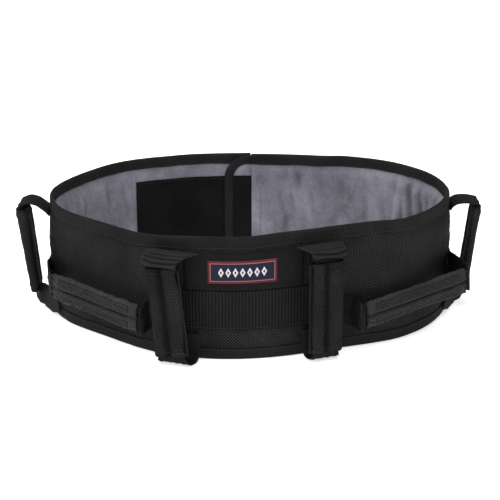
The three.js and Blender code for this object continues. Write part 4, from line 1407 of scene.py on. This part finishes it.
def flank_strap(grip, end):
    low, high, height = flank_sewn[grip.name, end]
    sign, tip = (-1, grip.low) if end == "front" else (1, grip.high)
    tip_s = wall.near(grip.at(tip), *RANGES["belt"])
    first, last = (low, high) if abs(low - tip_s) < abs(high - tip_s) else (high, low)
    toward = np.sign(last - first)
    inside = [grip.at(tip - sign * 11.0), grip.at(tip - sign * 4.0), grip.at(tip + sign * 1.0)]
    bulge = grip.at(tip + sign * 5.0, 0, 0.5 if end == "front" else -0.5)
    sewn_height = height - (0 if end == "front" else 5)
    landing = wall.place(first - toward * 2.0, 7.5 if end == "front" else 4.5, (height + sewn_height) / 2)
    sewn = [wall.place(first + (last - first) * share, 1.5, sewn_height) for share in (0.25, 0.65, 1.0)]
    count = 44
    path = smooth_path(np.array(inside + [bulge, landing] + sewn), count)
    up = np.array([0, 0, 1.0])
    share = smoothstep(np.linspace(0, 1, count), 0.15, 0.6)[:, None]
    facing = grip.across * np.sign(grip.across @ up)
    across = facing * (1 - share) + up * share
    wide = width_along(count, 20.5, 30.0 if end == "front" else 20.0 if grip.name == "left_flank" else 29.0)
    creases = 0.8 if end == "front" else 0.3
    # The creases are painted darker in their troughs: painted shade.
    lift = lambda t, x: creases * np.sin(t * 52 + 0.05 * x * x * 0.3 + 0.8 * np.sin(x * 0.3)) * between(t, 0.3, 0.7, 0.12)
    obj = band(f"{grip.name}_{end}_strap", path, across, wide, 1.8, strap_cloth, lift=lift)
    anchor = wall.place(first, 0, height)
    attach(obj, ("belt", grip.body, anchor, grip.at(tip + sign * 1.0)), [f"{grip.name}_{end}_tab"])


for name in FLANK:
    for end in ("front", "rear"):
        flank_strap(grips[name], end)


# ---- Floor, light and camera ----

floor_mesh = bpy.data.meshes.new("floor")
floor_mesh.from_pydata([(-4, -4, 0), (4, -4, 0), (4, 4, 0), (-4, 4, 0)], [], [(0, 1, 2, 3)])
floor = bpy.data.objects.new("floor", floor_mesh)
bpy.context.scene.collection.objects.link(floor)
floor_material = bpy.data.materials.new("pale_floor")
floor_material.use_nodes = True
tree = floor_material.node_tree
floor_shader = tree.nodes["Principled BSDF"]
floor_shader.inputs["Base Color"].default_value = (0.93, 0.93, 0.93, 1)
floor_shader.inputs["Roughness"].default_value = 0.9
floor_shader.inputs["Specular IOR Level"].default_value = 0.1
floor_shader.inputs["Emission Color"].default_value = (1, 1, 1, 1)
floor_shader.inputs["Emission Strength"].default_value = 0.5
floor_mesh.materials.append(floor_material)

world = bpy.data.worlds.new("studio")
bpy.context.scene.world = world
world.use_nodes = True
tree = world.node_tree
background = tree.nodes["Background"]
background.inputs["Color"].default_value = (1, 1, 1, 1)
ray = tree.nodes.new("ShaderNodeLightPath")
strength = tree.nodes.new("ShaderNodeMapRange")
strength.inputs[3].default_value = 0.55
strength.inputs[4].default_value = 1.05
tree.links.new(ray.outputs["Is Camera Ray"], strength.inputs[0])
tree.links.new(strength.outputs[0], background.inputs["Strength"])


def area_light(name, place, aim, size, power):
    lamp = bpy.data.lights.new(name, "AREA")
    lamp.shape = "RECTANGLE"
    lamp.size, lamp.size_y = size
    lamp.energy = power
    obj = bpy.data.objects.new(name, lamp)
    obj.location = place
    obj.rotation_euler = (Vector(aim) - Vector(place)).to_track_quat("-Z", "Y").to_euler()
    bpy.context.scene.collection.objects.link(obj)


area_light("top_softbox", (-0.25, -0.15, 1.5), (0, 0, 0.05), (1.6, 1.2), 26)
area_light("front_left_softbox", (-1.1, -1.2, 0.9), (0, 0, 0.06), (0.9, 0.9), 14)
area_light("front_right_softbox", (1.2, -1.0, 0.8), (0, 0, 0.06), (0.8, 0.8), 5)

ELEVATION = math.radians(22.0)
DISTANCE = 1.578
target = Vector((0.00166, 0.01184, HEIGHT / 2 * MM))
back = Vector((0, -math.cos(ELEVATION), math.sin(ELEVATION)))
camera = bpy.data.cameras.new("camera")
camera.sensor_width = 36
camera.lens = 117.2
camera.shift_x = -0.0034
camera.shift_y = -0.0008
camera_object = bpy.data.objects.new("camera", camera)
camera_object.location = target + back * DISTANCE
camera_object.rotation_euler = (-back).to_track_quat("-Z", "Y").to_euler()
bpy.context.scene.collection.objects.link(camera_object)
bpy.context.scene.camera = camera_object
bpy.context.scene.view_settings.view_transform = "Standard"
